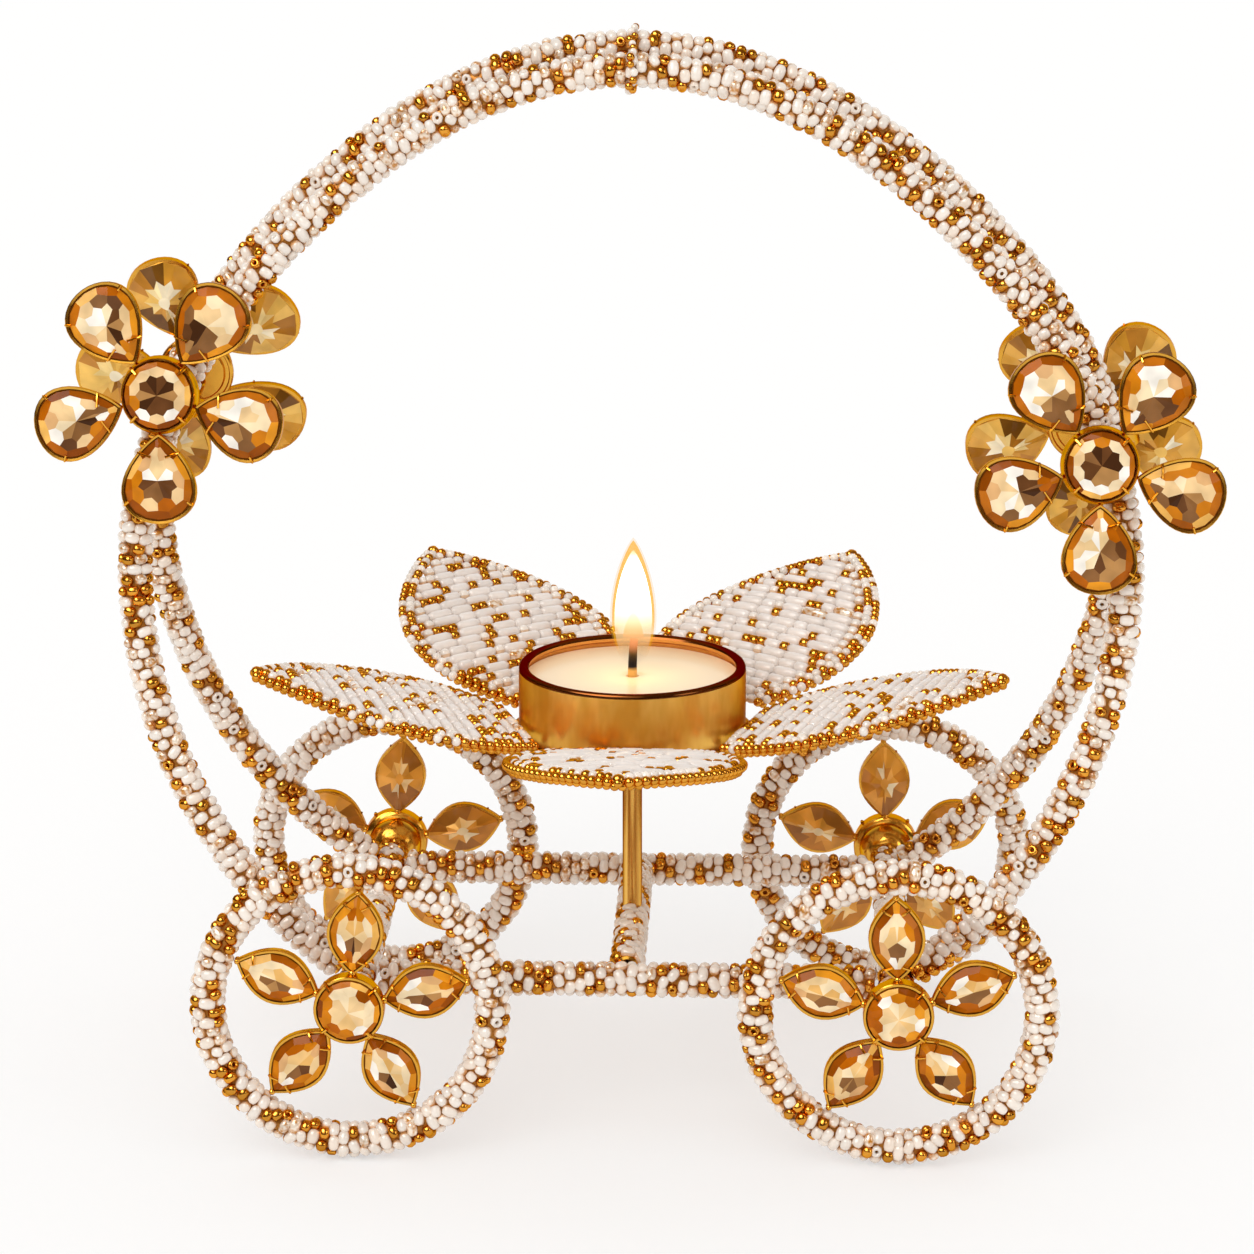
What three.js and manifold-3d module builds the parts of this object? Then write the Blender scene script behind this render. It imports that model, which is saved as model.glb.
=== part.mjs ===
// Beaded tealight holder in the form of a little carriage.
// Two beaded hoops lean together over a beaded wheel frame. A gold post on the frame carries a
// dish with five beaded leaves and a tealight. Jewelled flowers are clipped to the hoops, and
// each wheel is a beaded ring on a jewelled star that turns on the riveted end of an axle rod.
// Millimetres, +Z up, the wheels stand on z = 0, the front is -Y.

import * as THREE from 'three';
import * as BufferGeometryUtils from 'three/addons/utils/BufferGeometryUtils.js';
import Module from 'manifold-3d';

const wasm = await Module();
wasm.setup();

// Fits
const gap = 0.3;                    // clearance between pieces that touch on the real object
const runningGap = 0.4;             // end play of a wheel on its axle rod

// Beaded strands
const strandDiameter = 6.0;         // over the beads
const strandSides = 8;
const hoopRadius = 80.3;            // front hoop, to the middle of the strand
const rearHoopExtra = 1.2;          // the rear hoop is this much larger, so its top lies above
const shoulderDraw = 4.0;           // a hoop's shoulders lie this far inside a true circle
const hoopSteps = 42;

// Wheel frame
const axleSpacing = 88;             // between the left and right axles
const barSpacing = 56;              // between the front and rear side bars
const trackWidth = 84;              // between the middle planes of the front and rear wheels
const centreBarRise = 1.0;          // the centre bar lies a little above the side bars
const centreBarBore = 3.2;          // open front end of the centre bar's core tube
const centreBarBoreDepth = 6;
const axleRodDiameter = 2.0;
const axleBoreDiameter = 2.6;       // core of the axle strand and bore of the wheel hub
const rivetDiameter = 4.0;
const rivetThickness = 0.6;

// Wheels
const wheelDiameter = 52;
const wheelSegments = 28;
const rimSides = 8;
const hubDiameter = 11.4;           // over the hub's setting
const hubDomeDiameter = 9.4;
const hubDomeDepth = 4.4;
const hubCupHeight = 2.2;           // rim of the hub's setting above the wheel's middle plane
const spokeCount = 5;
const marquiseWidth = 9.1;
const leftWheelPhase = -5;          // degrees that each wheel stands turned, seen from the front
const rightWheelPhase = 2;

// Jewel settings
const settingWall = 0.5;
const stoneCrown = 1.3;             // height of a stone's table above the rim of its setting
const bezelHeight = 1.5;
const pavilionDepth = 2.1;
const clawWidth = 0.9;
const clawThickness = 0.35;
const clawReach = 1.1;              // how far a claw bends in over the stone
const clawCount = 4;

// Flowers
const petalCount = 5;
const petalLength = 14.9;
const petalWidth = 12.3;
const petalReach = 13.65;           // from the flower's centre to the middle of a petal
const flowerCentreDiameter = 11.8;
const petalSeat = 0.5;              // the petals' points lie this far over the back plate
const flowerPlateThickness = 1.2;
const frontLeftFlowerAngle = 20.5;  // degrees above the middle of the hoop
const frontRightFlowerAngle = 13.5;
const rearLeftFlowerAngle = 16.7;
const rearRightFlowerAngle = 10.3;
const frontLeftFlowerInset = -1.7;  // a flower's middle lies this far inside the middle of its strand
const frontRightFlowerInset = 2.1;
const rearLeftFlowerInset = 2.5;
const rearRightFlowerInset = 4.0;
const rearLeftFlowerTurn = 16.5;    // degrees from the others, on which one petal points down
const clipWidth = 3.4;
const clipWall = 0.9;
const clipPadDiameter = 7;
const clipPadHeight = 0.8;          // above the band

// Candle post, dish and leaves
const postDiameter = 3.3;
const postWall = 0.5;
const postSocketDepth = 3.5;
const postFlangeDiameter = 14;
const postFlangeThickness = 1.2;
const dishHeight = 58.4;            // floor of the dish above the ground
const dishFloor = 1.2;
const dishWall = 1.3;
const dishDepth = 1.9;
const leafCount = 5;
const leafReach = 65.5;             // from the post to a leaf's tip
const leafWidth = 39.6;             // over the gold edging
const leafStart = 12;               // where a leaf's outline would close under the tealight
const leafThickness = 2.4;
const edgingDiameter = 3.0;         // two rows of small gold beads
const leafSideBend = -2.0;          // the long sides droop this much at full width
const leafArch = 0.7;
const leafRowStart = 20.4;          // from the post to the first bead row that runs right across
const leafRowPitch = 2.06;          // between the bead rows
const leafRowRelief = 0.8;          // depth of the grooves between them
const frontLeafRise = 9.5;          // from root to tip
const sideLeafRise = 13.5;
const rearLeafRise = 15.8;

// Tealight
const tealightDiameter = 38;
const tealightHeight = 13;
const cupWall = 0.8;
const cupRollDiameter = 1.4;
const waxDrop = 1.5;                // the wax stands this far below the rim
const wickDiameter = 1.5;
const wickLength = 6.4;             // above the wax
const sustainerDiameter = 13;

// Sizes that follow from the ones above
const strandRadius = strandDiameter / 2;
const strandCorner = strandRadius / Math.cos(Math.PI / strandSides);
const wheelX = axleSpacing / 2;
const wheelY = trackWidth / 2;
const barY = barSpacing / 2;
const axleHeight = wheelDiameter / 2;
const hubRadius = hubDiameter / 2;
const hubDomeRadius = hubDomeDiameter / 2;
const hubBack = 1.0 + hubDomeDepth;
const axleBoreRadius = axleBoreDiameter / 2;
const axleStrandEnd = wheelY - hubBack - runningGap;
const tealightRadius = tealightDiameter / 2;
const dishInner = tealightRadius + gap;
const dishOuter = dishInner + dishWall;
const dishRim = dishHeight + dishDepth;
const leafRootHeight = dishRim + gap + leafThickness / 2;
const leafInner = tealightRadius + gap + 0.1;
const centreBarHeight = axleHeight + centreBarRise;
const clipSegments = 12;
const clipInner = (strandCorner + gap) / Math.cos(Math.PI / clipSegments);
const clipTop = clipInner + clipWall + clipPadHeight;

// Finishes
const beads = new THREE.MeshStandardMaterial({ color: 0xf3ece2, roughness: 0.35, metalness: 0.0 });
const goldBeads = new THREE.MeshStandardMaterial({ color: 0xc8902c, roughness: 0.25, metalness: 1.0 });
const gold = new THREE.MeshStandardMaterial({ color: 0xc99a3f, roughness: 0.28, metalness: 1.0 });
const amber = new THREE.MeshStandardMaterial({ color: 0xd08a35, roughness: 0.08, metalness: 0.2 });
const foil = new THREE.MeshStandardMaterial({ color: 0xb98a34, roughness: 0.2, metalness: 1.0 });
const cupGold = new THREE.MeshStandardMaterial({ color: 0xb8862f, roughness: 0.3, metalness: 1.0 });
const wax = new THREE.MeshStandardMaterial({ color: 0xf6e2b8, roughness: 0.55, metalness: 0.0 });
const wick = new THREE.MeshStandardMaterial({ color: 0x2a211b, roughness: 0.9, metalness: 0.0 });
const tin = new THREE.MeshStandardMaterial({ color: 0x9a9a98, roughness: 0.4, metalness: 1.0 });
const steel = new THREE.MeshStandardMaterial({ color: 0xb5a27c, roughness: 0.35, metalness: 1.0 });

// Geometry helpers

function merged(geometry) {
  geometry.deleteAttribute('normal');
  geometry.deleteAttribute('uv');
  return BufferGeometryUtils.mergeVertices(geometry, 1e-4);
}

// A closed mesh whose faces all point out: a shape that came out inside out is turned round.
function facingOut(geometry) {
  const g = merged(geometry);
  const p = g.attributes.position;
  const index = g.index.array;
  const a = new THREE.Vector3();
  const b = new THREE.Vector3();
  const c = new THREE.Vector3();
  let volume = 0;
  for (let i = 0; i < index.length; i += 3) {
    a.fromBufferAttribute(p, index[i]);
    b.fromBufferAttribute(p, index[i + 1]);
    c.fromBufferAttribute(p, index[i + 2]);
    volume += a.dot(b.cross(c));
  }
  if (volume < 0) {
    for (let i = 0; i < index.length; i += 3) {
      [index[i], index[i + 1]] = [index[i + 1], index[i]];
    }
  }
  return g;
}

function toSolid(geometry) {
  const g = facingOut(geometry);
  return new wasm.Manifold(new wasm.Mesh({
    numProp: 3,
    vertProperties: new Float32Array(g.attributes.position.array),
    triVerts: new Uint32Array(g.index.array),
  }));
}

function fromSolid(solid) {
  const found = solid.getMesh();
  const geometry = new THREE.BufferGeometry();
  geometry.setAttribute('position', new THREE.BufferAttribute(new Float32Array(found.vertProperties), 3));
  geometry.setIndex(new THREE.BufferAttribute(new Uint32Array(found.triVerts), 1));
  return geometry;
}

// A profile of [radius, height] pairs turned about Z. It starts and ends on the axis, or closes.
function revolve(profile, segments) {
  const points = profile.map(([r, z]) => new THREE.Vector2(r, z));
  const geometry = new THREE.LatheGeometry(points, segments);
  geometry.rotateX(Math.PI / 2);
  return facingOut(geometry);
}

// A polygon whose flats, not its corners, lie at the given radius. One flat faces up.
function flatSection(radius, sides) {
  const shape = new THREE.Shape();
  const corner = radius / Math.cos(Math.PI / sides);
  for (let i = 0; i < sides; i++) {
    const angle = Math.PI / 2 + (i + 0.5) * 2 * Math.PI / sides;
    const x = corner * Math.cos(angle);
    const y = corner * Math.sin(angle);
    if (i === 0) shape.moveTo(x, y);
    else shape.lineTo(x, y);
  }
  shape.closePath();
  return shape;
}

function roundHole(radius, sides) {
  const hole = new THREE.Path();
  for (let i = 0; i < sides; i++) {
    const angle = -i * 2 * Math.PI / sides;
    const x = radius * Math.cos(angle);
    const y = radius * Math.sin(angle);
    if (i === 0) hole.moveTo(x, y);
    else hole.lineTo(x, y);
  }
  hole.closePath();
  return hole;
}

// A straight strand along Z, centred on the origin, with an optional bore.
function straightStrand(length, boreRadius) {
  const shape = flatSection(strandRadius, strandSides);
  if (boreRadius > 0) shape.holes.push(roundHole(boreRadius, 8));
  const geometry = new THREE.ExtrudeGeometry(shape, { depth: length, bevelEnabled: false });
  geometry.translate(0, 0, -length / 2);
  return facingOut(geometry);
}

// Distance from a hoop's centre to the middle of its strand, at an angle above the horizontal. The
// lower half is a true circle, and the upper half is drawn in at its shoulders.
function hoopReach(radius, angle) {
  const draw = Math.sin(angle) > 0 ? shoulderDraw * Math.sin(2 * angle) ** 2 : 0;
  return radius - draw;
}

// Direction square to the strand, away from the hoop's centre, at the same angle.
function hoopOutward(radius, angle) {
  const slope = Math.sin(angle) > 0 ? -2 * shoulderDraw * Math.sin(4 * angle) : 0;
  return angle - Math.atan2(slope, hoopReach(radius, angle));
}

class HoopPath extends THREE.Curve {
  constructor(radius, from, to, centreY) {
    super();
    Object.assign(this, { radius, from, to, centreY });
  }

  getPoint(t, target = new THREE.Vector3()) {
    const angle = this.from + (this.to - this.from) * t;
    const reach = hoopReach(this.radius, angle);
    return target.set(reach * Math.cos(angle), this.centreY + reach * Math.sin(angle), 0);
  }
}

function tubeAlong(path, radius, sides, steps) {
  const geometry = new THREE.ExtrudeGeometry(flatSection(radius, sides), {
    steps,
    bevelEnabled: false,
    extrudePath: path,
  });
  return facingOut(geometry);
}

// Rings of equal count joined in order, with a fan over the first and the last.
function loft(rings) {
  const count = rings[0].length;
  const positions = [];
  const faces = [];
  for (const ring of rings) for (const p of ring) positions.push(p.x, p.y, p.z);
  for (let r = 0; r + 1 < rings.length; r++) {
    for (let i = 0; i < count; i++) {
      const a = r * count + i;
      const b = r * count + (i + 1) % count;
      faces.push(a, b, b + count, a, b + count, a + count);
    }
  }
  const last = (rings.length - 1) * count;
  for (let i = 1; i + 1 < count; i++) {
    faces.push(0, i + 1, i);
    faces.push(last, last + i, last + i + 1);
  }
  const geometry = new THREE.BufferGeometry();
  geometry.setAttribute('position', new THREE.BufferAttribute(new Float32Array(positions), 3));
  geometry.setIndex(faces);
  return facingOut(geometry);
}

function put(parent, name, geometry, material) {
  const mesh = new THREE.Mesh(geometry, material);
  mesh.name = name;
  parent.add(mesh);
  return mesh;
}

// Jewels: a faceted stone in a closed setting, seen from outside along +Z

// Marquise outline: two equal bows that meet in points on the X axis.
function marquiseOutline(length, width, points) {
  const half = points / 2;
  const outline = [];
  for (let i = 0; i < points; i++) {
    const angle = Math.PI * i / half;
    const u = Math.cos(angle);
    const side = i < half ? 1 : -1;
    outline.push(new THREE.Vector2(u * length / 2, side * (1 - u * u) * width / 2));
  }
  return outline;
}

// Pear outline: round at +X and drawn out to a point at -X.
function pearOutline(length, width, points) {
  const outline = [];
  const taper = 0.75;
  const fullest = Math.PI - 2 * Math.atan(Math.sqrt(1 / (1 + taper)));
  const norm = Math.sin(fullest) * Math.sin(fullest / 2) ** taper;
  for (let i = 0; i < points; i++) {
    const angle = 2 * Math.PI * i / points;
    const y = Math.sin(angle) * Math.abs(Math.sin(angle / 2)) ** taper / norm;
    outline.push(new THREE.Vector2(-Math.cos(angle) * length / 2, -y * width / 2));
  }
  return outline;
}

// The setting's wall, the pointed back below it and the crown of the stone above it, in one solid.
function setJewel(outline, width) {
  const inner = 1 - 2 * settingWall / width;
  const levels = [
    [0.14, -bezelHeight / 2 - pavilionDepth],
    [1.0, -bezelHeight / 2],
    [1.0, bezelHeight / 2],
    [inner, bezelHeight / 2],
    [inner * 0.58, bezelHeight / 2 + stoneCrown],
  ];
  return loft(levels.map(([scale, z]) => outline.map((p) => new THREE.Vector3(p.x * scale, p.y * scale, z))));
}

// The round stone of a hub or flower centre: pointed below, a flat table on top.
function roundStone(radius, seat, rim) {
  return revolve([
    [0, seat],
    [radius * 0.35, seat],
    [radius, rim - 0.4],
    [radius, rim + 0.1],
    [radius * 0.6, rim + stoneCrown],
    [0, rim + stoneCrown],
  ], 8);
}

// Claws that stand on a round setting's rim and bend in over the stone.
function addClaws(solid, radius, rim) {
  const side = [
    [radius - settingWall / 2, rim - 0.5],
    [radius + clawThickness, rim - 0.5],
    [radius - clawReach, rim + stoneCrown * 0.8],
    [radius - clawReach, rim + stoneCrown * 0.8 - clawThickness],
  ];
  const shape = new THREE.Shape(side.map(([x, y]) => new THREE.Vector2(x, y)));
  let result = solid;
  for (let i = 0; i < clawCount; i++) {
    const claw = new THREE.ExtrudeGeometry(shape, { depth: clawWidth, bevelEnabled: false });
    claw.translate(0, 0, -clawWidth / 2);
    claw.rotateX(Math.PI / 2);
    claw.rotateZ((i + 0.5) * 2 * Math.PI / clawCount);
    result = result.add(toSolid(claw));
  }
  return result;
}

// Wheels

function wheelRim() {
  const ringRadius = axleHeight - strandRadius;
  const corner = strandRadius / Math.cos(Math.PI / rimSides);
  const spread = 1 / Math.cos(Math.PI / wheelSegments);
  const profile = [];
  for (let i = 0; i <= rimSides; i++) {
    const angle = (i % rimSides + 0.5) * 2 * Math.PI / rimSides;
    profile.push([(ringRadius + corner * Math.cos(angle)) * spread, corner * Math.sin(angle)]);
  }
  const geometry = revolve(profile, wheelSegments);
  geometry.rotateZ(Math.PI / wheelSegments);
  return geometry;
}

// Hub with its dome towards the axle, a cup for the stone, the rod's bore and the rivet's recess.
function wheelStar() {
  const recess = rivetDiameter / 2 + gap;
  const recessFloor = -(rivetThickness + gap);
  const cup = hubRadius - settingWall;
  const profile = [
    [axleBoreRadius, -hubBack],
    [hubDomeRadius * 0.6, -hubBack + hubDomeDepth * 0.12],
    [hubDomeRadius * 0.9, -hubBack + hubDomeDepth * 0.5],
    [hubDomeRadius, -1.0],
    [hubRadius, -0.5],
    [hubRadius, hubCupHeight],
    [cup, hubCupHeight],
    [cup, gap],
    [recess, gap],
    [recess, recessFloor],
    [axleBoreRadius, recessFloor],
    [axleBoreRadius, -hubBack],
  ];
  let solid = addClaws(toSolid(revolve(profile, 12)), hubRadius, hubCupHeight);
  const tip = axleHeight - strandDiameter - gap;
  const root = hubRadius - settingWall / 2;
  const length = tip - root;
  for (let i = 0; i < spokeCount; i++) {
    const jewel = setJewel(marquiseOutline(length, marquiseWidth, 8), marquiseWidth);
    jewel.translate(root + length / 2, 0, 0);
    jewel.rotateZ(Math.PI / 2 + i * 2 * Math.PI / spokeCount);
    solid = solid.add(toSolid(jewel));
  }
  return fromSolid(solid);
}

function addWheel(parent, name, phase) {
  const wheel = new THREE.Group();
  wheel.rotation.z = THREE.MathUtils.degToRad(phase);
  parent.add(wheel);
  const rim = put(wheel, `${name}_rim`, wheelRim(), beads);
  rim.rotation.z = -wheel.rotation.z;
  put(wheel, `${name}_star`, wheelStar(), gold);
  const seat = gap + rivetThickness / 2;
  put(wheel, `${name}_hub_stone`, roundStone(hubRadius - settingWall - gap, seat, hubCupHeight), amber);
}

// Flowers

function flowerSetting() {
  const centre = flowerCentreDiameter / 2;
  const plate = petalReach - petalLength / 2 + petalSeat;
  const back = -bezelHeight / 2 - flowerPlateThickness;
  const plateTop = -bezelHeight / 2 + 0.3;
  const rim = bezelHeight / 2 + 0.6;
  const profile = [
    [0, back],
    [plate, back],
    [plate, plateTop],
    [centre, plateTop],
    [centre, rim],
    [centre - settingWall, rim],
    [centre - settingWall, plateTop],
    [0, plateTop],
  ];
  let solid = addClaws(toSolid(revolve(profile, 12)), centre, rim);
  for (let i = 0; i < petalCount; i++) {
    const jewel = setJewel(pearOutline(petalLength, petalWidth, 10), petalWidth);
    jewel.translate(petalReach, 0, 0);
    jewel.rotateZ(-Math.PI / 2 + i * 2 * Math.PI / petalCount);
    solid = solid.add(toSolid(jewel));
  }
  return fromSolid(solid);
}

// A band round the strand with a round pad that the flower's back plate sits on.
function flowerClip() {
  const inner = clipInner;
  const outer = clipInner + clipWall;
  const half = clipWidth / 2;
  const band = revolve([[inner, -half], [outer, -half], [outer, half], [inner, half], [inner, -half]], clipSegments);
  band.rotateX(-Math.PI / 2);
  const pad = revolve([
    [0, inner + clipWall * 0.4],
    [clipPadDiameter / 2, inner + clipWall * 0.4],
    [clipPadDiameter / 2, clipTop],
    [0, clipTop],
  ], 10);
  return fromSolid(toSolid(band).add(toSolid(pad)));
}

function addFlower(hoop, name, radius, centreY, { angle, inset, turn }) {
  const place = new THREE.Group();
  const reach = hoopReach(radius, angle);
  place.position.set(reach * Math.cos(angle), centreY + reach * Math.sin(angle), 0);
  hoop.add(place);
  const clip = put(place, `${name}_clip`, flowerClip(), gold);
  clip.rotation.z = hoopOutward(radius, angle);
  const flower = new THREE.Group();
  const seatHeight = clipTop + gap + flowerPlateThickness + bezelHeight / 2;
  flower.position.set(-inset * Math.cos(angle), -inset * Math.sin(angle), seatHeight);
  flower.rotation.z = THREE.MathUtils.degToRad(turn);
  place.add(flower);
  put(flower, `${name}_setting`, flowerSetting(), foil);
  const seat = -bezelHeight / 2 + 0.3 + gap;
  const stone = roundStone(flowerCentreDiameter / 2 - settingWall - gap, seat, bezelHeight / 2 + 0.6);
  put(flower, `${name}_centre_stone`, stone, amber);
}

// Hoops and the halves of the wheel frame

// The end of a hoop stops short of the axle strand that it meets.
function addHoop(half, end, radius, flowers) {
  const centreY = Math.sqrt(radius * radius - wheelX * wheelX);
  const topSpread = strandCorner + gap / 2;
  const lean = Math.asin((barY - topSpread) / (radius + centreY));
  const hoop = new THREE.Group();
  hoop.position.set(0, -barY, axleHeight);
  hoop.rotation.x = Math.PI / 2 - lean;
  half.add(hoop);
  const start = -Math.asin(centreY / radius) + (strandCorner + gap) / radius;
  const path = new HoopPath(radius, start, Math.PI - start, centreY);
  put(hoop, `${end}_hoop`, tubeAlong(path, strandRadius, strandSides, hoopSteps), beads);
  for (const { name, side, degrees, inset, turn } of flowers) {
    const above = THREE.MathUtils.degToRad(degrees);
    const angle = side > 0 ? above : Math.PI - above;
    addFlower(hoop, name, radius, centreY, { angle, inset, turn });
  }
  return (radius + centreY) * Math.cos(lean) + axleHeight;
}

function addSideBar(half, end) {
  const length = 2 * (wheelX - strandCorner - gap);
  const bar = put(half, `${end}_side_bar`, straightStrand(length, 0), beads);
  bar.position.set(0, -barY, axleHeight);
  bar.rotation.y = Math.PI / 2;
}

function addWheelPlace(half, name, side, phase) {
  const place = new THREE.Group();
  place.position.set(side * wheelX, -wheelY, axleHeight);
  place.rotation.x = Math.PI / 2;
  half.add(place);
  addWheel(place, name, phase);
}

function addAxle(parent, name, side) {
  const strand = put(parent, `${name}_axle_strand`, straightStrand(2 * axleStrandEnd, axleBoreRadius), beads);
  strand.position.set(side * wheelX, 0, axleHeight);
  strand.rotation.x = Math.PI / 2;
  const rodRadius = axleRodDiameter / 2;
  const rivet = rivetDiameter / 2;
  const neck = wheelY - rivetThickness;
  const rod = put(parent, `${name}_axle_rod`, revolve([
    [0, -wheelY],
    [rivet, -wheelY],
    [rivet, -neck],
    [rodRadius, -neck],
    [rodRadius, neck],
    [rivet, neck],
    [rivet, wheelY],
    [0, wheelY],
  ], 10), steel);
  rod.position.copy(strand.position);
  rod.rotation.x = Math.PI / 2;
}

function addCentreBar(parent) {
  const length = 2 * (barY - strandCorner - gap);
  const bar = straightStrand(length, 0);
  bar.rotateX(Math.PI / 2);
  const bore = new THREE.CylinderGeometry(centreBarBore / 2, centreBarBore / 2, centreBarBoreDepth * 2, 10);
  bore.translate(0, -length / 2, 0);
  const socketRadius = postDiameter / 2 + gap;
  const socket = new THREE.CylinderGeometry(socketRadius, socketRadius, postSocketDepth * 2, 16);
  socket.rotateX(Math.PI / 2);
  socket.translate(0, 0, strandRadius);
  const solid = toSolid(bar).subtract(toSolid(bore)).subtract(toSolid(socket));
  put(parent, 'centre_bar', fromSolid(solid), beads).position.z = centreBarHeight;
}

// A cord of gold beads wound round both hoops where their tops lie side by side.
function addTopTie(parent, frontTop, rearTop) {
  const radius = 0.8;
  const reach = strandCorner + gap + radius;
  const across = strandCorner + gap / 2;
  const rise = (rearTop - frontTop) / 2;
  const middle = (rearTop + frontTop) / 2;
  const halfSpan = Math.hypot(across, rise);
  const tilt = Math.atan2(rise, across);
  const corners = 12;
  const outline = [];
  for (let i = 0; i < corners; i++) {
    const angle = (i + 0.5) * 2 * Math.PI / corners;
    const shift = Math.cos(angle) > 0 ? halfSpan : -halfSpan;
    const bulge = reach / Math.cos(Math.PI / corners);
    outline.push(new THREE.Vector2(shift + bulge * Math.cos(angle), bulge * Math.sin(angle)));
  }
  const wound = new THREE.Shape(outline);
  const inner = outline.map((p) => {
    const shift = p.x > 0 ? halfSpan : -halfSpan;
    const shrink = (reach - radius) / reach;
    return new THREE.Vector2(shift + (p.x - shift) * shrink, p.y * shrink);
  });
  wound.holes.push(new THREE.Path(inner.reverse()));
  const geometry = new THREE.ExtrudeGeometry(wound, { depth: 2 * radius, bevelEnabled: false });
  geometry.translate(0, 0, -radius);
  geometry.rotateZ(tilt);
  geometry.rotateX(Math.PI / 2);
  geometry.rotateZ(Math.PI / 2);
  const tie = put(parent, 'hoop_tie', facingOut(geometry), goldBeads);
  tie.position.z = middle;
}

// Candle post, dish and leaves

function addPost(parent) {
  const outer = postDiameter / 2;
  const inner = outer - postWall;
  const foot = centreBarHeight + strandRadius - postSocketDepth + gap;
  const top = dishHeight - dishFloor - gap;
  const flange = top - postFlangeThickness;
  put(parent, 'candle_post', revolve([
    [inner, foot],
    [outer, foot],
    [outer, flange - 1.5],
    [outer + 1.2, flange],
    [postFlangeDiameter / 2, flange],
    [postFlangeDiameter / 2, top],
    [inner, top],
    [inner, foot],
  ], 16), gold);
}

function addDish(parent) {
  const under = dishHeight - dishFloor;
  put(parent, 'candle_dish', revolve([
    [0, under],
    [dishOuter - 1.4, under],
    [dishOuter, under + 1.2],
    [dishOuter, dishRim],
    [dishInner, dishRim],
    [dishInner, dishHeight],
    [0, dishHeight],
  ], 28), gold);
}

// Half the leaf's width, over its edging, at a distance from the post.
function leafHalfWidth(reach) {
  const root = 0.76;
  const end = 0.9;
  const s = THREE.MathUtils.clamp((reach - leafStart) / (leafReach - leafStart), 0, 1);
  const peak = (root / (root + end)) ** root * (end / (root + end)) ** end;
  return leafWidth / 2 * s ** root * (1 - s) ** end / peak;
}

function leafSurface(reach, side, rise) {
  const s = Math.max(0, (reach - leafInner) / (leafReach - leafInner));
  const across = side / (leafWidth / 2);
  return leafRootHeight + rise * s + leafArch * 4 * s * (1 - s) + leafSideBend * across * across * s;
}

// One long side of the outline moved inward by an inset, from a circle round the post to where it
// comes within a small distance of the middle line. The points are evenly spaced.
function leafSide(inset, circle, middleDistance, count) {
  const fine = 300;
  const step = (leafReach - leafStart) / fine;
  const kept = [];
  for (let i = 1; i < fine; i++) {
    const reach = leafStart + i * step;
    const slope = (leafHalfWidth(reach + step / 2) - leafHalfWidth(reach - step / 2)) / step;
    const along = Math.hypot(1, slope);
    const point = new THREE.Vector2(reach + inset * slope / along, leafHalfWidth(reach) - inset / along);
    if (point.length() >= circle && point.x > circle / 2 && point.y >= middleDistance) kept.push(point);
  }
  return new THREE.SplineCurve(kept).getSpacedPoints(count);
}

// Triangles between two lines of point numbers that run the same way. The marks say how far along
// its line each point lies, and the line that lags behind moves on first.
function ribbon(faces, a, b, marksA, marksB) {
  let i = 0;
  let j = 0;
  while (i + 1 < a.length || j + 1 < b.length) {
    if (j + 1 >= b.length || (i + 1 < a.length && marksA[i + 1] <= marksB[j + 1])) {
      faces.push(a[i], b[j], a[i + 1]);
      i += 1;
    } else {
      faces.push(a[i], b[j], b[j + 1]);
      j += 1;
    }
  }
}

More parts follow.
